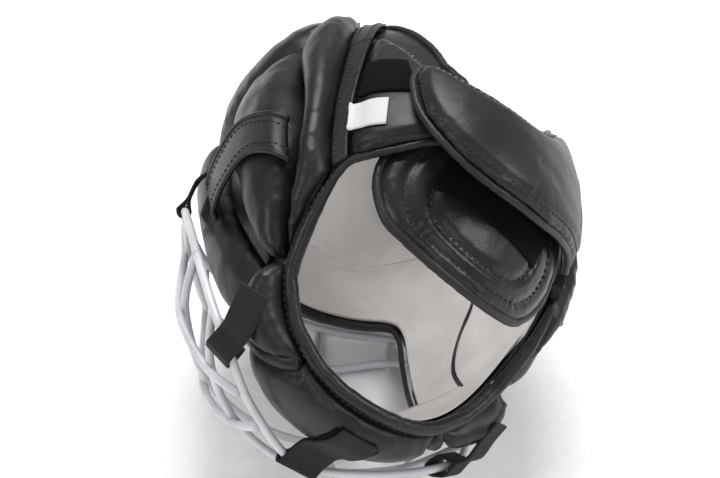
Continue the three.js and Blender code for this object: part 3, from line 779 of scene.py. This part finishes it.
# The seam is no further than this share of the way to the pads
PINCH_SHARE = 0.75
WIRE_RADIUS, HALF_WEB = 2.6, 0.9
TEMPLE = {
    "seat": [(66.5, 15, 22.4), (63, 14.5, 25.9)],
    "wire": CAGE_RIM[2],
    "width": 13,
    "depth": 1.0,
    "gap": 0.8,
}
JAW = {
    "seat": [(72, -47, 25.6), (65, -47, 27.1), (58.5, -46.5, 33)],
    "wire": CAGE_CHIN[2],
    "width": 18,
    "depth": 6.5,
    "gap": 3.2,
}
CHIN = {
    "seat": [(0, -67, 19.2), (0, -62.6, 21.7), (0, -57.4, 24.2), (0, -51.6, 28)],
    "wire": CAGE_CHIN[-1],
    "width": 26,
    "depth": 1,
    "gap": 1.2,
}

# Camera: its three directions in the upright helmet, its place from the middle of the head, its lens and
# its sensor, in millimetres
VIEW_BACK = Vector((0.431, 0.366, -0.825))
VIEW_RIGHT = Vector((-0.778, 0.613, -0.134))
VIEW_UP = Vector((0.457, 0.7, 0.549))
VIEW_FAR, VIEW_ASIDE, VIEW_LIFT, VIEW_LENS, VIEW_SENSOR = 1200, -18.6, -7.6, 98, 36

# Stage in metres and watts: the floor's half, the point that the lights face, and the sky
FLOOR_HALF = 6
LIT_POINT = Vector((0, 0, 0.12))
LIGHTS = {
    "left_softbox": {"at": (-1.5, -0.5, 1.3), "size": 0.9, "power": 11},
    "right_softbox": {"at": (1.6, -0.4, 1.2), "size": 0.9, "power": 19},
    "top_softbox": {"at": (0.1, 0.9, 1.9), "size": 1.2, "power": 44},
    "front_fill": {"at": (0.2, -2.2, 1.5), "size": 1.6, "power": 14},
}
SKY_COLOUR, SKY_STRENGTH = "#ffffff", 0.36


def length(label, text, millimetres):
    return bpy.props.FloatProperty(name=label, description=text, default=millimetres * MM, unit="LENGTH")


def tint(label, code):
    return bpy.props.FloatVectorProperty(
        name=label,
        description=f"Colour of the finish: {label}",
        subtype="COLOR",
        size=4,
        min=0,
        max=1,
        default=colour(code),
    )


class HelmetSizes(bpy.types.PropertyGroup):
    """Sizes that a user would change."""

    voxel: length("Pad voxel", "Remesh size of stuffed pieces", 4.0)
    pressure: bpy.props.FloatProperty(
        name="Pad pressure", description="Pressure that swells the pads", default=4.0
    )
    frames: bpy.props.IntProperty(
        name="Swell frames", description="Frames that the pads swell for", default=20
    )
    binding: length("Neck binding", "Radius of the rolled neck edge", 4.3)
    edging: length("Flap edging", "Radius of the flaps' bound edges", 2.4)
    piping: length("Window piping", "Radius of the window's piping", 1.35)
    pitch: length("Stitch pitch", "Distance between stitches", 4.2)
    stitch: length("Stitch length", "Length of a stitch", 3.0)
    thread: length("Thread", "Radius of the thread", 0.5)
    wire: length("Cage wire", "Radius of the coated wire", WIRE_RADIUS)
    web: length("Webbing", "Thickness of the webbing", 2 * HALF_WEB)


class HelmetColours(bpy.types.PropertyGroup):
    """Colours of the finishes, each as a darker and a lighter tone."""

    leather_dark: tint("Leather, dark", "#141215")
    leather_light: tint("Leather, light", "#1f1d21")
    strap_dark: tint("Strap leather, dark", "#171618")
    strap_light: tint("Strap leather, light", "#222124")
    lining_dark: tint("Lining, dark", "#c6c2c0")
    lining_light: tint("Lining, light", "#d8d5d3")
    webbing_dark: tint("Webbing, dark", "#161517")
    webbing_light: tint("Webbing, light", "#1f1e21")
    loop_dark: tint("Loop pile, dark", "#060606")
    loop_light: tint("Loop pile, light", "#141414")
    label_dark: tint("Label, dark", "#b4b2b1")
    label_light: tint("Label, light", "#c6c4c3")
    cage_dark: tint("Cage, dark", "#bab8be")
    cage_light: tint("Cage, light", "#d2d0d6")
    thread_dark: tint("Thread, dark", "#0c0c0d")
    thread_light: tint("Thread, light", "#1c1b1d")
    floor_dark: tint("Floor, dark", "#f2f2f2")
    floor_light: tint("Floor, light", "#f7f7f7")


def soften(bm, times):
    """Smooths a pad's crown only, so that its sewn edges still meet their neighbours."""
    crown = [v for v in bm.verts if head_offset(v.co) > CROWN_OFFSET]
    for _ in range(times):
        bmesh.ops.smooth_vert(
            bm, verts=crown, factor=0.5, use_axis_x=True, use_axis_y=True, use_axis_z=True
        )


def remeshed(name, size):
    """A pad's solid remeshed evenly, with its hard rims softened."""
    thing = link(name + "_shape", node_copy(name))
    even = thing.modifiers.new("Even", "REMESH")
    even.mode = "VOXEL"
    even.voxel_size = size
    bm = bmesh.new()
    mesh = baked(thing, name + "_even")
    bm.from_mesh(mesh)
    bpy.data.meshes.remove(mesh)
    if name not in FLAPS:
        soften(bm, times=1)
    return to_mesh(bm, name + "_even")


def swollen(shapes, sizes):
    """Swells all pads at once with cloth under pressure and caps how far each point moves."""
    things = {}
    for name, mesh in shapes.items():
        thing = link(name + "_cloth", mesh)
        sewn = thing.vertex_groups.new(name="sewn")
        held = [v.index for v in mesh.vertices if head_offset(v.co) < SEWN_OFFSET]
        sewn.add(held, 1.0, "REPLACE")
        cloth = thing.modifiers.new("Swell", "CLOTH")
        cloth.settings.quality = 4
        cloth.settings.use_pressure = True
        cloth.settings.uniform_pressure_force = sizes.pressure
        cloth.settings.effector_weights.gravity = 0
        cloth.settings.bending_stiffness = 4.0
        cloth.settings.shrink_min = 0.0
        cloth.settings.vertex_group_mass = "sewn"
        cloth.collision_settings.use_collision = False
        things[name] = thing
    scene = bpy.context.scene
    for number in range(1, sizes.frames + 1):
        scene.frame_set(number)
    depsgraph = bpy.context.evaluated_depsgraph_get()
    for name, thing in things.items():
        moved = [v.co.copy() for v in thing.evaluated_get(depsgraph).data.vertices]
        most = PADS[name]["swell"] * MM
        for vert, goal in zip(thing.data.vertices, moved):
            step = goal - vert.co
            if step.length > most:
                step *= most / step.length
            vert.co += step
    for name, thing in things.items():
        bm = bmesh.new()
        bm.from_mesh(thing.data)
        soften(bm, times=2)
        bm.normal_update()
        for vert in bm.verts:
            over = (head_offset(vert.co) - SEWN_OFFSET) / (CROWN_OFFSET - SEWN_OFFSET)
            facing = vert.normal.dot((vert.co - HEAD_AT).normalized())
            vert.co += vert.normal * (PADS[name]["plump"] * MM * max(0, min(1, over)) * max(0, facing))
        shapes[name] = to_mesh(bm, name + "_full")
        bpy.data.objects.remove(thing)
    scene.frame_set(1)


def folded(mesh, row):
    """Soft folds on a pad, stretched along its length."""
    normals = [v.normal.copy() for v in mesh.vertices]
    for vert, normal in zip(mesh.vertices, normals):
        spot = unplace(vert.co)
        around = math.degrees(math.atan2(spot.x, -spot.y)) * ARC
        at = Vector((around / row["across"], spot.z / row["up"], spot.length / FOLD_DEEP))
        ridge = 1 - 2 * abs(noise.noise(at))
        ripple = noise.noise(at * RIPPLES + RIPPLES_AT)
        depth = min(1.0, max(0.0, (head_offset(vert.co) - FOLD_FOOT) / FOLD_RISE))
        # Folds run out towards the top of the head, where all azimuths meet
        depth *= min(1.0, FOLD_POLE * spot.xy.length / spot.length)
        dent = FOLD_SHARE * max(0, ridge - RIDGE_FROM)
        vert.co += normal * (row["fold"] * MM * depth * (ripple * FOLD_SHARE - dent))


class HELMET_OT_pads(bpy.types.Operator):
    """Stuffed leather pads, swollen from the solids, folded and sewn"""

    bl_idname = "helmet.pads"
    bl_label = "Stuffed pads"

    def execute(self, context):
        sizes = context.scene.helmet_sizes
        shapes = {name: remeshed(name, sizes.voxel) for name in PADS}
        swollen(shapes, sizes)
        for name, row in PADS.items():
            mesh = subdivided(name + "_pad", shapes[name], levels=1)
            folded(mesh, row)
            tree = tree_of(mesh)
            for stitches in STITCH_ROWS:
                if stitches["piece"] == name:
                    line = seam_line(tree, stitches["path"])
                    press(mesh, line, stitches["width"] * MM, stitches["depth"] * MM)
            if name == "neck_pad":
                for seam in NECK_SEAMS:
                    line = neck_line(tree, seam["share"])
                    press(mesh, line, NECK_SEAM_WIDTH * MM, seam["depth"] * MM)
            look = "neck_leather" if name == "neck_pad" else "leather"
            finish_piece(name + "_cover", mesh, look, [name])
        return {"FINISHED"}


def seam_line(tree, path):
    """A row of stitches laid on a surface."""
    spots = smooth_line([(azimuth, elevation, 0) for azimuth, elevation in path], per_span=14)
    hits = [on_head(tree, spot.x, spot.y) for spot in spots]
    return [hit for hit in hits if hit]


def neck_line(tree, share):
    """A closed row of stitches on the neck pad."""
    line = []
    for spot in neck_oval(share, count=96):
        flat = NECK_TURN.transposed() @ (unplace(spot) - NECK_AT)
        hit = on_neck(tree, flat.x, flat.z)
        if hit:
            line.append(hit)
    return line


def both_halves(half):
    """Rows of a sheet given from one side to the middle, completed by their mirror image."""
    return [*half, *other_side(half[:-1])[::-1]]


def other_side(rows):
    return [{key: (-spot[0], spot[1]) for key, spot in row.items()} for row in rows]


# Cloth that joins the linings over the brow and covers the jaw and chin pads inside, to the middle
LINING_JOIN = [
    {"low": (134, 36), "high": (134, 55)}, {"low": (108, 36), "high": (108, 50)},
    {"low": (76, 36), "high": (76, 50)}, {"low": (48, 39), "high": (48, 53)},
    {"low": (26, 40), "high": (26, 55)}, {"low": (0, 42.5), "high": (0, 57)},
]
JAW_LINING = [
    {"low": (112, -33.6), "high": (112, -27)}, {"low": (99.5, -39.4), "high": (99.5, -34)},
    {"low": (80, -45.4), "high": (80, -37.6)}, {"low": (66, -51.6), "high": (66, -37.6)},
    {"low": (56, -56.4), "high": (56, -37.6)}, {"low": (44.5, -61.4), "high": (44.5, -38)},
    {"low": (30, -65.4), "high": (30, -41.2)}, {"low": (0, -68.4), "high": (0, -42)},
]
# Leather carrier sheets between the linings and the pads, which close the seams
CHIN_CARRIER = [
    {"low": (47, -62.4), "high": (47, -38.6)}, {"low": (30, -67.2), "high": (30, -41.4)},
    {"low": (0, -70), "high": (0, -42.2)},
]
SIDE_CARRIER = [
    {"low": (46.5, -62.5), "high": (46.5, 4)}, {"low": (60, -56.8), "high": (60, 42)},
    {"low": (72, -51.2), "high": (72, 43)}, {"low": (80.2, -47.6), "high": (84, 43)},
    {"low": (99.5, -41.6), "high": (104, 43)}, {"low": (114, -35.2), "high": (126, 46)},
]
# Behind the nape's left flap the sheet reaches up to the crown, and on the right it ends below the closure
NAPE_CARRIER = [
    {"low": (121.2, -33.8), "high": (137, 48)}, {"low": (132, -33), "high": (148, 46)},
    {"low": (140, -33), "high": (158, 24)}, {"low": (146, -30), "high": (161, 8)},
]
# Offset of the bound edge of the left nape sheet
NAPE_RIM = 2.6
CLOSURE_CARRIER = [{"low": (121.2, -32.2), "high": (138, 23)}, {"low": (132, -33), "high": (143, 17)}]
BROW_CARRIER = [
    {"low": (66, 20), "high": (66, 46)}, {"low": (44, 19), "high": (44, 49)},
    {"low": (30, 22), "high": (30, 50)}, {"low": (0, 24), "high": (0, 52)},
]
# Offsets of the sheets from the head in millimetres, and how they are made
SHEET_OFFSET = {"lining": -0.3, "leather": 2.25}
SHEET_STEPS, SHEET_COLUMNS, SHEET_WALL = 8, 10, 0.4 * MM
SHEETS = {
    "lining_join": {"look": "lining", "rows": both_halves(LINING_JOIN)},
    "jaw_lining": {"look": "lining", "rows": both_halves(JAW_LINING)},
    "chin_carrier": {"look": "leather", "rows": both_halves(CHIN_CARRIER)},
    "brow_carrier": {"look": "leather", "rows": both_halves(BROW_CARRIER)},
    "side_carrier_left": {"look": "leather", "rows": [*SIDE_CARRIER, *NAPE_CARRIER]},
    "side_carrier_right": {"look": "leather", "rows": other_side([*SIDE_CARRIER, *CLOSURE_CARRIER])},
}
# A lining's face that looks this much outwards is bonded to the pads
BONDED = 0.3


def head_sheet(name, rows, offset):
    """Thin sheet on the head between a low and a high edge, which faces in."""
    low = smooth_line([(*row["low"], offset) for row in rows], SHEET_STEPS)
    high = smooth_line([(*row["high"], offset) for row in rows], SHEET_STEPS)
    last = len(low) - 1
    bm = bmesh.new()
    bmesh.ops.create_grid(bm, x_segments=last, y_segments=SHEET_COLUMNS, size=0.5)
    for vert in bm.verts:
        i = round((vert.co.x + 0.5) * last)
        vert.co = head_point(*low[i].lerp(high[i], vert.co.y + 0.5))
    bm.normal_update()
    if sum(face.normal.dot(HEAD_AT - face.calc_center_median()) for face in bm.faces) < 0:
        bmesh.ops.reverse_faces(bm, faces=bm.faces)
    return walled(name, bm, SHEET_WALL)


class HELMET_OT_linings(bpy.types.Operator):
    """Pale cloth linings inside the head space, and the leather sheets behind them"""

    bl_idname = "helmet.linings"
    bl_label = "Linings"

    def execute(self, context):
        for name in ("front_lining", "crown_lining", "side_lining_left", "side_lining_right"):
            mesh = subdivided(name + "_cloth", node_copy(name, LINING_CREASE), levels=2)
            piece = finish_piece(name + "_cloth", mesh, "lining", [name])
            # The side that is bonded to the pads is black
            piece.data.materials.append(finish_of("leather"))
            for face in piece.data.polygons:
                if face.normal.dot((face.center - HEAD_AT).normalized()) > BONDED:
                    face.material_index = 1
        for name, sheet in SHEETS.items():
            look = sheet["look"]
            mesh = head_sheet(name, sheet["rows"], SHEET_OFFSET[look])
            finish_piece(name, mesh, look)
        return {"FINISHED"}


def head_line(path, per_span):
    """Smooth line through points that are given by azimuth, elevation and offset."""
    return smooth_line([head_point(*spot) for spot in path], per_span)


def gathered(mesh, height, spacing):
    """Small gathers round a bound edge."""
    normals = [v.normal.copy() for v in mesh.vertices]
    for vert, normal in zip(mesh.vertices, normals):
        spot = unplace(vert.co)
        vert.co += normal * (height * MM * noise.noise(spot / spacing))


class HELMET_OT_bindings(bpy.types.Operator):
    """Rolled, piped and bound edges"""

    bl_idname = "helmet.bindings"
    bl_label = "Bindings"

    def execute(self, context):
        sizes = context.scene.helmet_sizes
        edge = [(azimuth, elevation - ROLL_BELOW, ROLL_OFFSET) for azimuth, elevation in whole(NECK_EDGE)]
        roll = tube("neck_roll", head_line(edge, per_span=30), sizes.binding, end=THIN_END)
        gathered(roll, height=0.5, spacing=9)
        gathered(roll, height=0.3, spacing=3.2)
        finish_piece("neck_roll", roll, "leather", ["neck_binding"])
        piping = tube("window_cord", head_line(whole(WINDOW_EDGE), per_span=12), sizes.piping)
        finish_piece("window_cord", piping, "leather", ["window_piping"])
        slits = []
        for path in (SLIT_EDGE, mirrored(SLIT_EDGE)):
            slits.append(tube("slit_edge", head_line(path, per_span=10), SLIT_RADIUS))
        fold = [(azimuth, elevation, FOLD_OFFSET) for azimuth, elevation, _ in whole(WINDOW_EDGE)]
        slits.append(tube("window_fold", head_line(fold, per_span=12), FOLD_RADIUS))
        finish_piece("slit_edges", joined("slit_edges", slits), "leather")
        welts = []
        for path in (CHIN_WELT, mirrored(CHIN_WELT)):
            welts.append(tube("welt", head_line(path, per_span=10), WELT_RADIUS, end=THIN_END))
        finish_piece("chin_welts", joined("chin_welts", welts), "leather")
        edgings = []
        for path in (FLAP_BINDING, BACK_BINDING):
            edgings.append(tube("edging", head_line(path, per_span=16), sizes.edging))
        # The left nape sheet's free edge, from the crown down to the flap
        rim = smooth_line([(*row["high"], NAPE_RIM) for row in NAPE_CARRIER], per_span=12)
        edgings.append(tube("edging", [head_point(*spot) for spot in rim], sizes.edging))
        oval = smooth_line(neck_oval(1.0), per_span=4, closed=True)
        edgings.append(tube("edging", oval, sizes.edging * NECK_EDGING, closed=True))
        bound = joined("flap_edging", edgings)
        gathered(bound, height=0.35, spacing=2.4)
        finish_piece("flap_edging", bound, "strap_leather")
        return {"FINISHED"}


def band_rows(rows, side, steps):
    """Rows for a band between a low and a high edge on the head."""
    low = smooth_line([(side * r["low"][0], r["low"][1], r["offset"]) for r in rows], steps)
    high = smooth_line([(side * r["high"][0], r["high"][1], r["offset"]) for r in rows], steps)
    found = []
    for a, b in zip(low, high):
        foot, top = head_point(*a), head_point(*b)
        middle = head_point(*((a + b) / 2))
        out = (middle - HEAD_AT).normalized()
        across = (top - foot).normalized()
        found.append((middle, across, (out - across * out.dot(across)).normalized(), (top - foot).length))
    return found


def mean_width(rows):
    return sum(row[3] for row in rows) / len(rows)


def aside_line(rows, share):
    """Line along a band at a share of its width from its middle."""
    return [middle + across * (share * width) for middle, across, _, width in rows]


def laid_ear_strap(side, word, lift):
    """Rows of an ear strap that is pulled taut over the pads below it, with its ends tucked in."""
    tree = tree_of_pieces(f"ear_pad_{word}_cover", f"side_panel_{word}_cover", "front_shell_cover")
    flat = band_rows(EAR_STRAP, side, EAR_STEPS)
    heights = []
    for middle, across, normal, width in flat:
        found = []
        for share in FEEL_AT:
            start = middle + across * (share * width) + normal * FEEL_FROM
            hit = tree.ray_cast(start, -normal, FEEL_REACH)[0]
            if hit:
                found.append((hit - middle).dot(normal))
        heights.append(max(found) if found else NO_PAD)
    last = len(heights) - 1
    for _ in range(TAUT_PASSES):
        heights = [
            max(h, (heights[max(i - 1, 0)] + heights[min(i + 1, last)]) / 2) for i, h in enumerate(heights)
        ]
    laid = []
    for i, (middle, across, normal, width) in enumerate(flat):
        front = max(0, 1 - i / FRONT_TUCK["rows"])
        rear = max(0, 1 - (last - i) / REAR_TUCK["rows"])
        tuck = (FRONT_TUCK["depth"] * front**2 + REAR_TUCK["depth"] * rear**2) * MM
        laid.append((middle + normal * (heights[i] + lift - tuck), across, normal, width))
    return laid


class HELMET_OT_bands(bpy.types.Operator):
    """Leather ear straps, seam strips and ear gussets"""

    bl_idname = "helmet.bands"
    bl_label = "Leather bands"

    def execute(self, context):
        for side, word in SIDES:
            rows = laid_ear_strap(side, word, EAR_LIFT)
            width = mean_width(rows)
            parts = [ribbon("ear_band", rows, width, EAR_WALL, BAND_COLUMNS, crown=EAR_CROWN)]
            for half in (-0.5, 0.5):
                line = []
                for middle, across, out, _ in rows:
                    line.append(middle + across * (half * width) - out * EAR_EDGE_SINK)
                parts.append(tube("ear_band_edge", line, EAR_EDGE_RADIUS))
            name = f"ear_strap_{word}"
            band = joined(name + "_band", parts)
            finish_piece(name + "_band", band, "strap_leather", [name])
            for name, look in ((f"seam_strip_{word}", "strap_leather"), (f"ear_gusset_{word}", "leather")):
                mesh = subdivided(name + "_band", node_copy(name, BAND_CREASE), levels=2)
                finish_piece(name + "_band", mesh, look, [name])
        rows = band_rows(STRIP_TOP, 1, TOP_STEPS)
        mesh = ribbon("strip_top", rows, mean_width(rows), TOP_WALL, BAND_COLUMNS, crown=TOP_CROWN)
        finish_piece("strip_top", mesh, "strap_leather")
        return {"FINISHED"}


def loop_rows(strap, side, tree):
    """Rows for webbing that runs from its seat on the pads round a cage wire and back."""
    seat = []
    for azimuth, elevation, offset in strap["seat"]:
        seat.append(unplace(head_point(side * azimuth, elevation, offset)))
    for i, (azimuth, elevation, _) in enumerate(strap["seat"]):
        hit = on_head(tree, side * azimuth, elevation)
        if hit:
            spot = unplace(hit)
            spot += spot.normalized() * SEAT_LIFT
            # The last point hangs free between the pads and the wire
            if i < len(seat) - 1 or spot.length > seat[i].length:
                seat[i] = spot
    wire = Vector((side * strap["wire"][0], strap["wire"][1], strap["wire"][2]))
    to_pad = (seat[-1] - wire).normalized()
    out = wire.normalized()
    out = (out - to_pad * out.dot(to_pad)).normalized()
    reach = WIRE_RADIUS + HALF_WEB + strap["gap"]
    turn = []
    for angle in WRAP_TURNS:
        a = math.radians(angle)
        turn.append(wire + to_pad * ((reach + strap["depth"]) * math.cos(a)) + out * (reach * math.sin(a)))
    sewn = [spot - spot.normalized() * STRAP_BELOW for spot in seat[:-3:-1]]
    # Both runs are sewn together just behind the wire
    pinch = wire + to_pad * min(reach + STRAP_PINCH, (seat[-1] - wire).length * PINCH_SHARE)
    close = out * (STRAP_BELOW / 2)
    line = smooth_line([*seat, pinch + close, *turn, pinch - close, *sewn], per_span=6)
    width_along = out.cross(to_pad)
    rows = []
    for i, spot in enumerate(line):
        tangent = (line[min(i + 1, len(line) - 1)] - line[max(i - 1, 0)]).normalized()
        across = (width_along - tangent * width_along.dot(tangent)).normalized()
        rows.append((place(spot), TURN @ across, TURN @ across.cross(tangent)))
    return rows


class HELMET_OT_webbing(bpy.types.Operator):
    """Webbing that holds the cage"""

    bl_idname = "helmet.webbing"
    bl_label = "Webbing"

    def execute(self, context):
        thick = context.scene.helmet_sizes.web
        pads = ("front_shell", "jaw_pad_left", "jaw_pad_right", "chin_pad")
        tree = tree_of_pieces(*[name + "_cover" for name in pads])
        bands = [("chin_strap", CHIN, 1)]
        for side, word in SIDES:
            bands += [(f"temple_tab_{word}", TEMPLE, side), (f"jaw_strap_{word}", JAW, side)]
        for name, strap, side in bands:
            rows = loop_rows(strap, side, tree)
            mesh = ribbon(name, rows, strap["width"] * MM, thick, BAND_COLUMNS)
            finish_piece(name + "_web", mesh, "webbing", [name])
        return {"FINISHED"}


class HELMET_OT_patches(bpy.types.Operator):
    """Hook and loop patches and the blank label"""

    bl_idname = "helmet.patches"
    bl_label = "Patches and label"

    def execute(self, context):
        for name, patch in PATCHES.items():
            rows = band_rows(patch["rows"], 1, PATCH_STEPS)
            onto = (tree_of_pieces(patch["below"]), PATCH_LIFT)
            mesh = ribbon(name, rows, mean_width(rows), patch["wall"], PATCH_COLUMNS, onto=onto)
            finish_piece(name + "_sheet", mesh, patch["look"], [name])
        strip = []
        for i in range(STRIP_STEPS + 1):
            aside = -STRIP_HALF + 2 * STRIP_HALF * i / STRIP_STEPS
            middle = neck_point(aside, STRIP_UP, STRIP_LIFT)
            top = neck_point(aside, STRIP_UP + STRIP_WIDTH / 2, STRIP_LIFT)
            foot = neck_point(aside, STRIP_UP - STRIP_WIDTH / 2, STRIP_LIFT)
            out = (neck_point(aside, STRIP_UP, STRIP_ABOVE) - middle).normalized()
            strip.append((middle, (top - foot).normalized(), out))
        onto = (tree_of_pieces("neck_pad_cover"), STRIP_OVER)
        mesh = ribbon("neck_loop_strip", strip, STRIP_WIDTH * MM, STRIP_WALL, PATCH_COLUMNS, onto=onto)
        finish_piece("neck_loop_strip_sheet", mesh, "loop", ["neck_loop_strip"])
        return {"FINISHED"}


class HELMET_OT_cage(bpy.types.Operator):
    """Welded cage of coated wire"""

    bl_idname = "helmet.cage"
    bl_label = "Face cage"

    def execute(self, context):
        radius = context.scene.helmet_sizes.wire
        lines = []
        for half in (CAGE_RIM, CAGE_CHIN, *CAGE_BARS):
            lines.append([*half, *[(-x, y, z) for x, y, z in half[:-1]][::-1]])
        for upright in UPRIGHTS:
            spots = [upright["top"], *[bar[upright["bar"]] for bar in CAGE_BARS], upright["foot"]]
            for side in (1, -1):
                line = []
                for x, y, z in spots:
                    out = Vector((side * x, y, 0)).normalized() * UPRIGHT_OUT
                    line.append(Vector((side * x, y, z)) + out)
                lines.append(line)
        wires = []
        for line in lines:
            spots = [place(spot) for spot in line]
            wires.append(tube("wire", smooth_line(spots, per_span=12), radius, roundness=4))
        finish_piece("cage_wires", joined("cage_wires", wires), "cage", ["face_cage"])
        return {"FINISHED"}


def stitched(name, rows, sizes):
    """All stitches as one mesh; a row is its line, its surface and whether it is closed."""
    bm = bmesh.new()
    for line, tree, closed in rows:
        for spot, tangent in even_line(line, sizes.pitch, closed):
            near, normal, _, _ = tree.find_nearest(spot)
            side = tangent.cross(normal).normalized()
            lift = side.cross(tangent).normalized()
            turn = Matrix((tangent, side, lift)).transposed().to_4x4()
            turn.translation = near + lift * THREAD_LIFT
            shape = Matrix.Diagonal((sizes.stitch / 2, sizes.thread, sizes.thread, 1))
            bmesh.ops.create_icosphere(bm, subdivisions=1, radius=1, matrix=turn @ shape)
    return to_mesh(bm, name)


class HELMET_OT_stitches(bpy.types.Operator):
    """Thread of the sewn rows"""

    bl_idname = "helmet.stitches"
    bl_label = "Stitches"

    def execute(self, context):
        sizes = context.scene.helmet_sizes
        rows = []
        for stitches in STITCH_ROWS:
            tree = tree_of_pieces(stitches["piece"] + "_cover")
            rows.append((seam_line(tree, stitches["path"]), tree, False))
        tree = tree_of_pieces("neck_pad_cover")
        for seam in NECK_SEAMS:
            rows.append((neck_line(tree, seam["share"]), tree, True))
        bands = []
        for side, word in SIDES:
            strap = laid_ear_strap(side, word, EAR_STITCH_LIFT)
            bands.append((f"ear_strap_{word}_band", strap, EAR_STITCHES))
            strip = band_rows(SEAM_STRIP, side, SEAM_STEPS)
            bands.append((f"seam_strip_{word}_band", strip, STRIP_STITCHES))
        bands.append(("strip_top", band_rows(STRIP_TOP, 1, TOP_STEPS), STRIP_STITCHES))
        for name, band, shares in bands:
            tree = tree_of_pieces(name)
            for share in shares:
                rows.append((aside_line(band, share), tree, False))
        edge = []
        for azimuth, elevation in whole(NECK_EDGE):
            edge.append((azimuth, elevation - ROLL_STITCH_BELOW, ROLL_STITCH_OFFSET))
        rows.append((head_line(edge, per_span=20), tree_of_pieces("neck_roll"), False))
        finish_piece("thread_rows", stitched("thread_rows", rows, sizes), "thread")
        return {"FINISHED"}


class HELMET_OT_stage(bpy.types.Operator):
    """Pale floor, soft studio lights and the camera"""

    bl_idname = "helmet.stage"
    bl_label = "Stage"

    def execute(self, context):
        scene = context.scene
        bm = bmesh.new()
        bmesh.ops.create_grid(bm, x_segments=1, y_segments=1, size=FLOOR_HALF)
        floor = link("floor", to_mesh(bm, "floor"))
        floor.data.materials.append(finish_of("floor"))
        camera = link("camera", bpy.data.cameras.new("camera"))
        camera.data.lens = VIEW_LENS
        camera.data.sensor_width = VIEW_SENSOR
        at = VIEW_BACK * VIEW_FAR + VIEW_RIGHT * VIEW_ASIDE + VIEW_UP * VIEW_LIFT
        back = (TURN @ VIEW_BACK).normalized()
        right = TURN @ VIEW_RIGHT
        right = (right - back * right.dot(back)).normalized()
        axes = Matrix((right, back.cross(right), back)).transposed().to_4x4()
        axes.translation = place(at)
        camera.matrix_world = axes
        scene.camera = camera
        for name, light in LIGHTS.items():
            lamp = link(name, bpy.data.lights.new(name, "AREA"))
            lamp.data.size = light["size"]
            lamp.data.energy = light["power"]
            lamp.location = light["at"]
            lamp.rotation_mode = "QUATERNION"
            lamp.rotation_quaternion = (LIT_POINT - Vector(light["at"])).to_track_quat("-Z", "Y")
        world = bpy.data.worlds.new("studio")
        world.use_nodes = True
        sky = world.node_tree.nodes["Background"]
        sky.inputs["Color"].default_value = colour(SKY_COLOUR)
        sky.inputs["Strength"].default_value = SKY_STRENGTH
        scene.world = world
        scene.view_settings.view_transform = "Standard"
        return {"FINISHED"}


STEPS = ("stage", "pads", "linings", "bindings", "bands", "webbing", "patches", "cage", "stitches")


class HELMET_PT_sidebar(bpy.types.Panel):
    """Lists the helmet's steps and sizes"""

    bl_idname = "HELMET_PT_sidebar"
    bl_label = "Helmet"
    bl_space_type = "VIEW_3D"
    bl_region_type = "UI"
    bl_category = "Helmet"

    def draw(self, context):
        for step in STEPS:
            self.layout.operator("helmet." + step)
        for group in (context.scene.helmet_sizes, context.scene.helmet_colours):
            for name in group.__annotations__:
                self.layout.prop(group, name)


CLASSES = (
    HelmetSizes,
    HelmetColours,
    HELMET_OT_stage,
    HELMET_OT_pads,
    HELMET_OT_linings,
    HELMET_OT_bindings,
    HELMET_OT_bands,
    HELMET_OT_webbing,
    HELMET_OT_patches,
    HELMET_OT_cage,
    HELMET_OT_stitches,
    HELMET_PT_sidebar,
)


def register():
    for item in CLASSES:
        bpy.utils.register_class(item)
    bpy.types.Scene.helmet_sizes = bpy.props.PointerProperty(type=HelmetSizes)
    bpy.types.Scene.helmet_colours = bpy.props.PointerProperty(type=HelmetColours)


def unregister():
    del bpy.types.Scene.helmet_colours
    del bpy.types.Scene.helmet_sizes
    for item in reversed(CLASSES):
        bpy.utils.unregister_class(item)


def main():
    register()
    for step in STEPS:
        getattr(bpy.ops.helmet, step)()


if __name__ == "__main__":
    main()
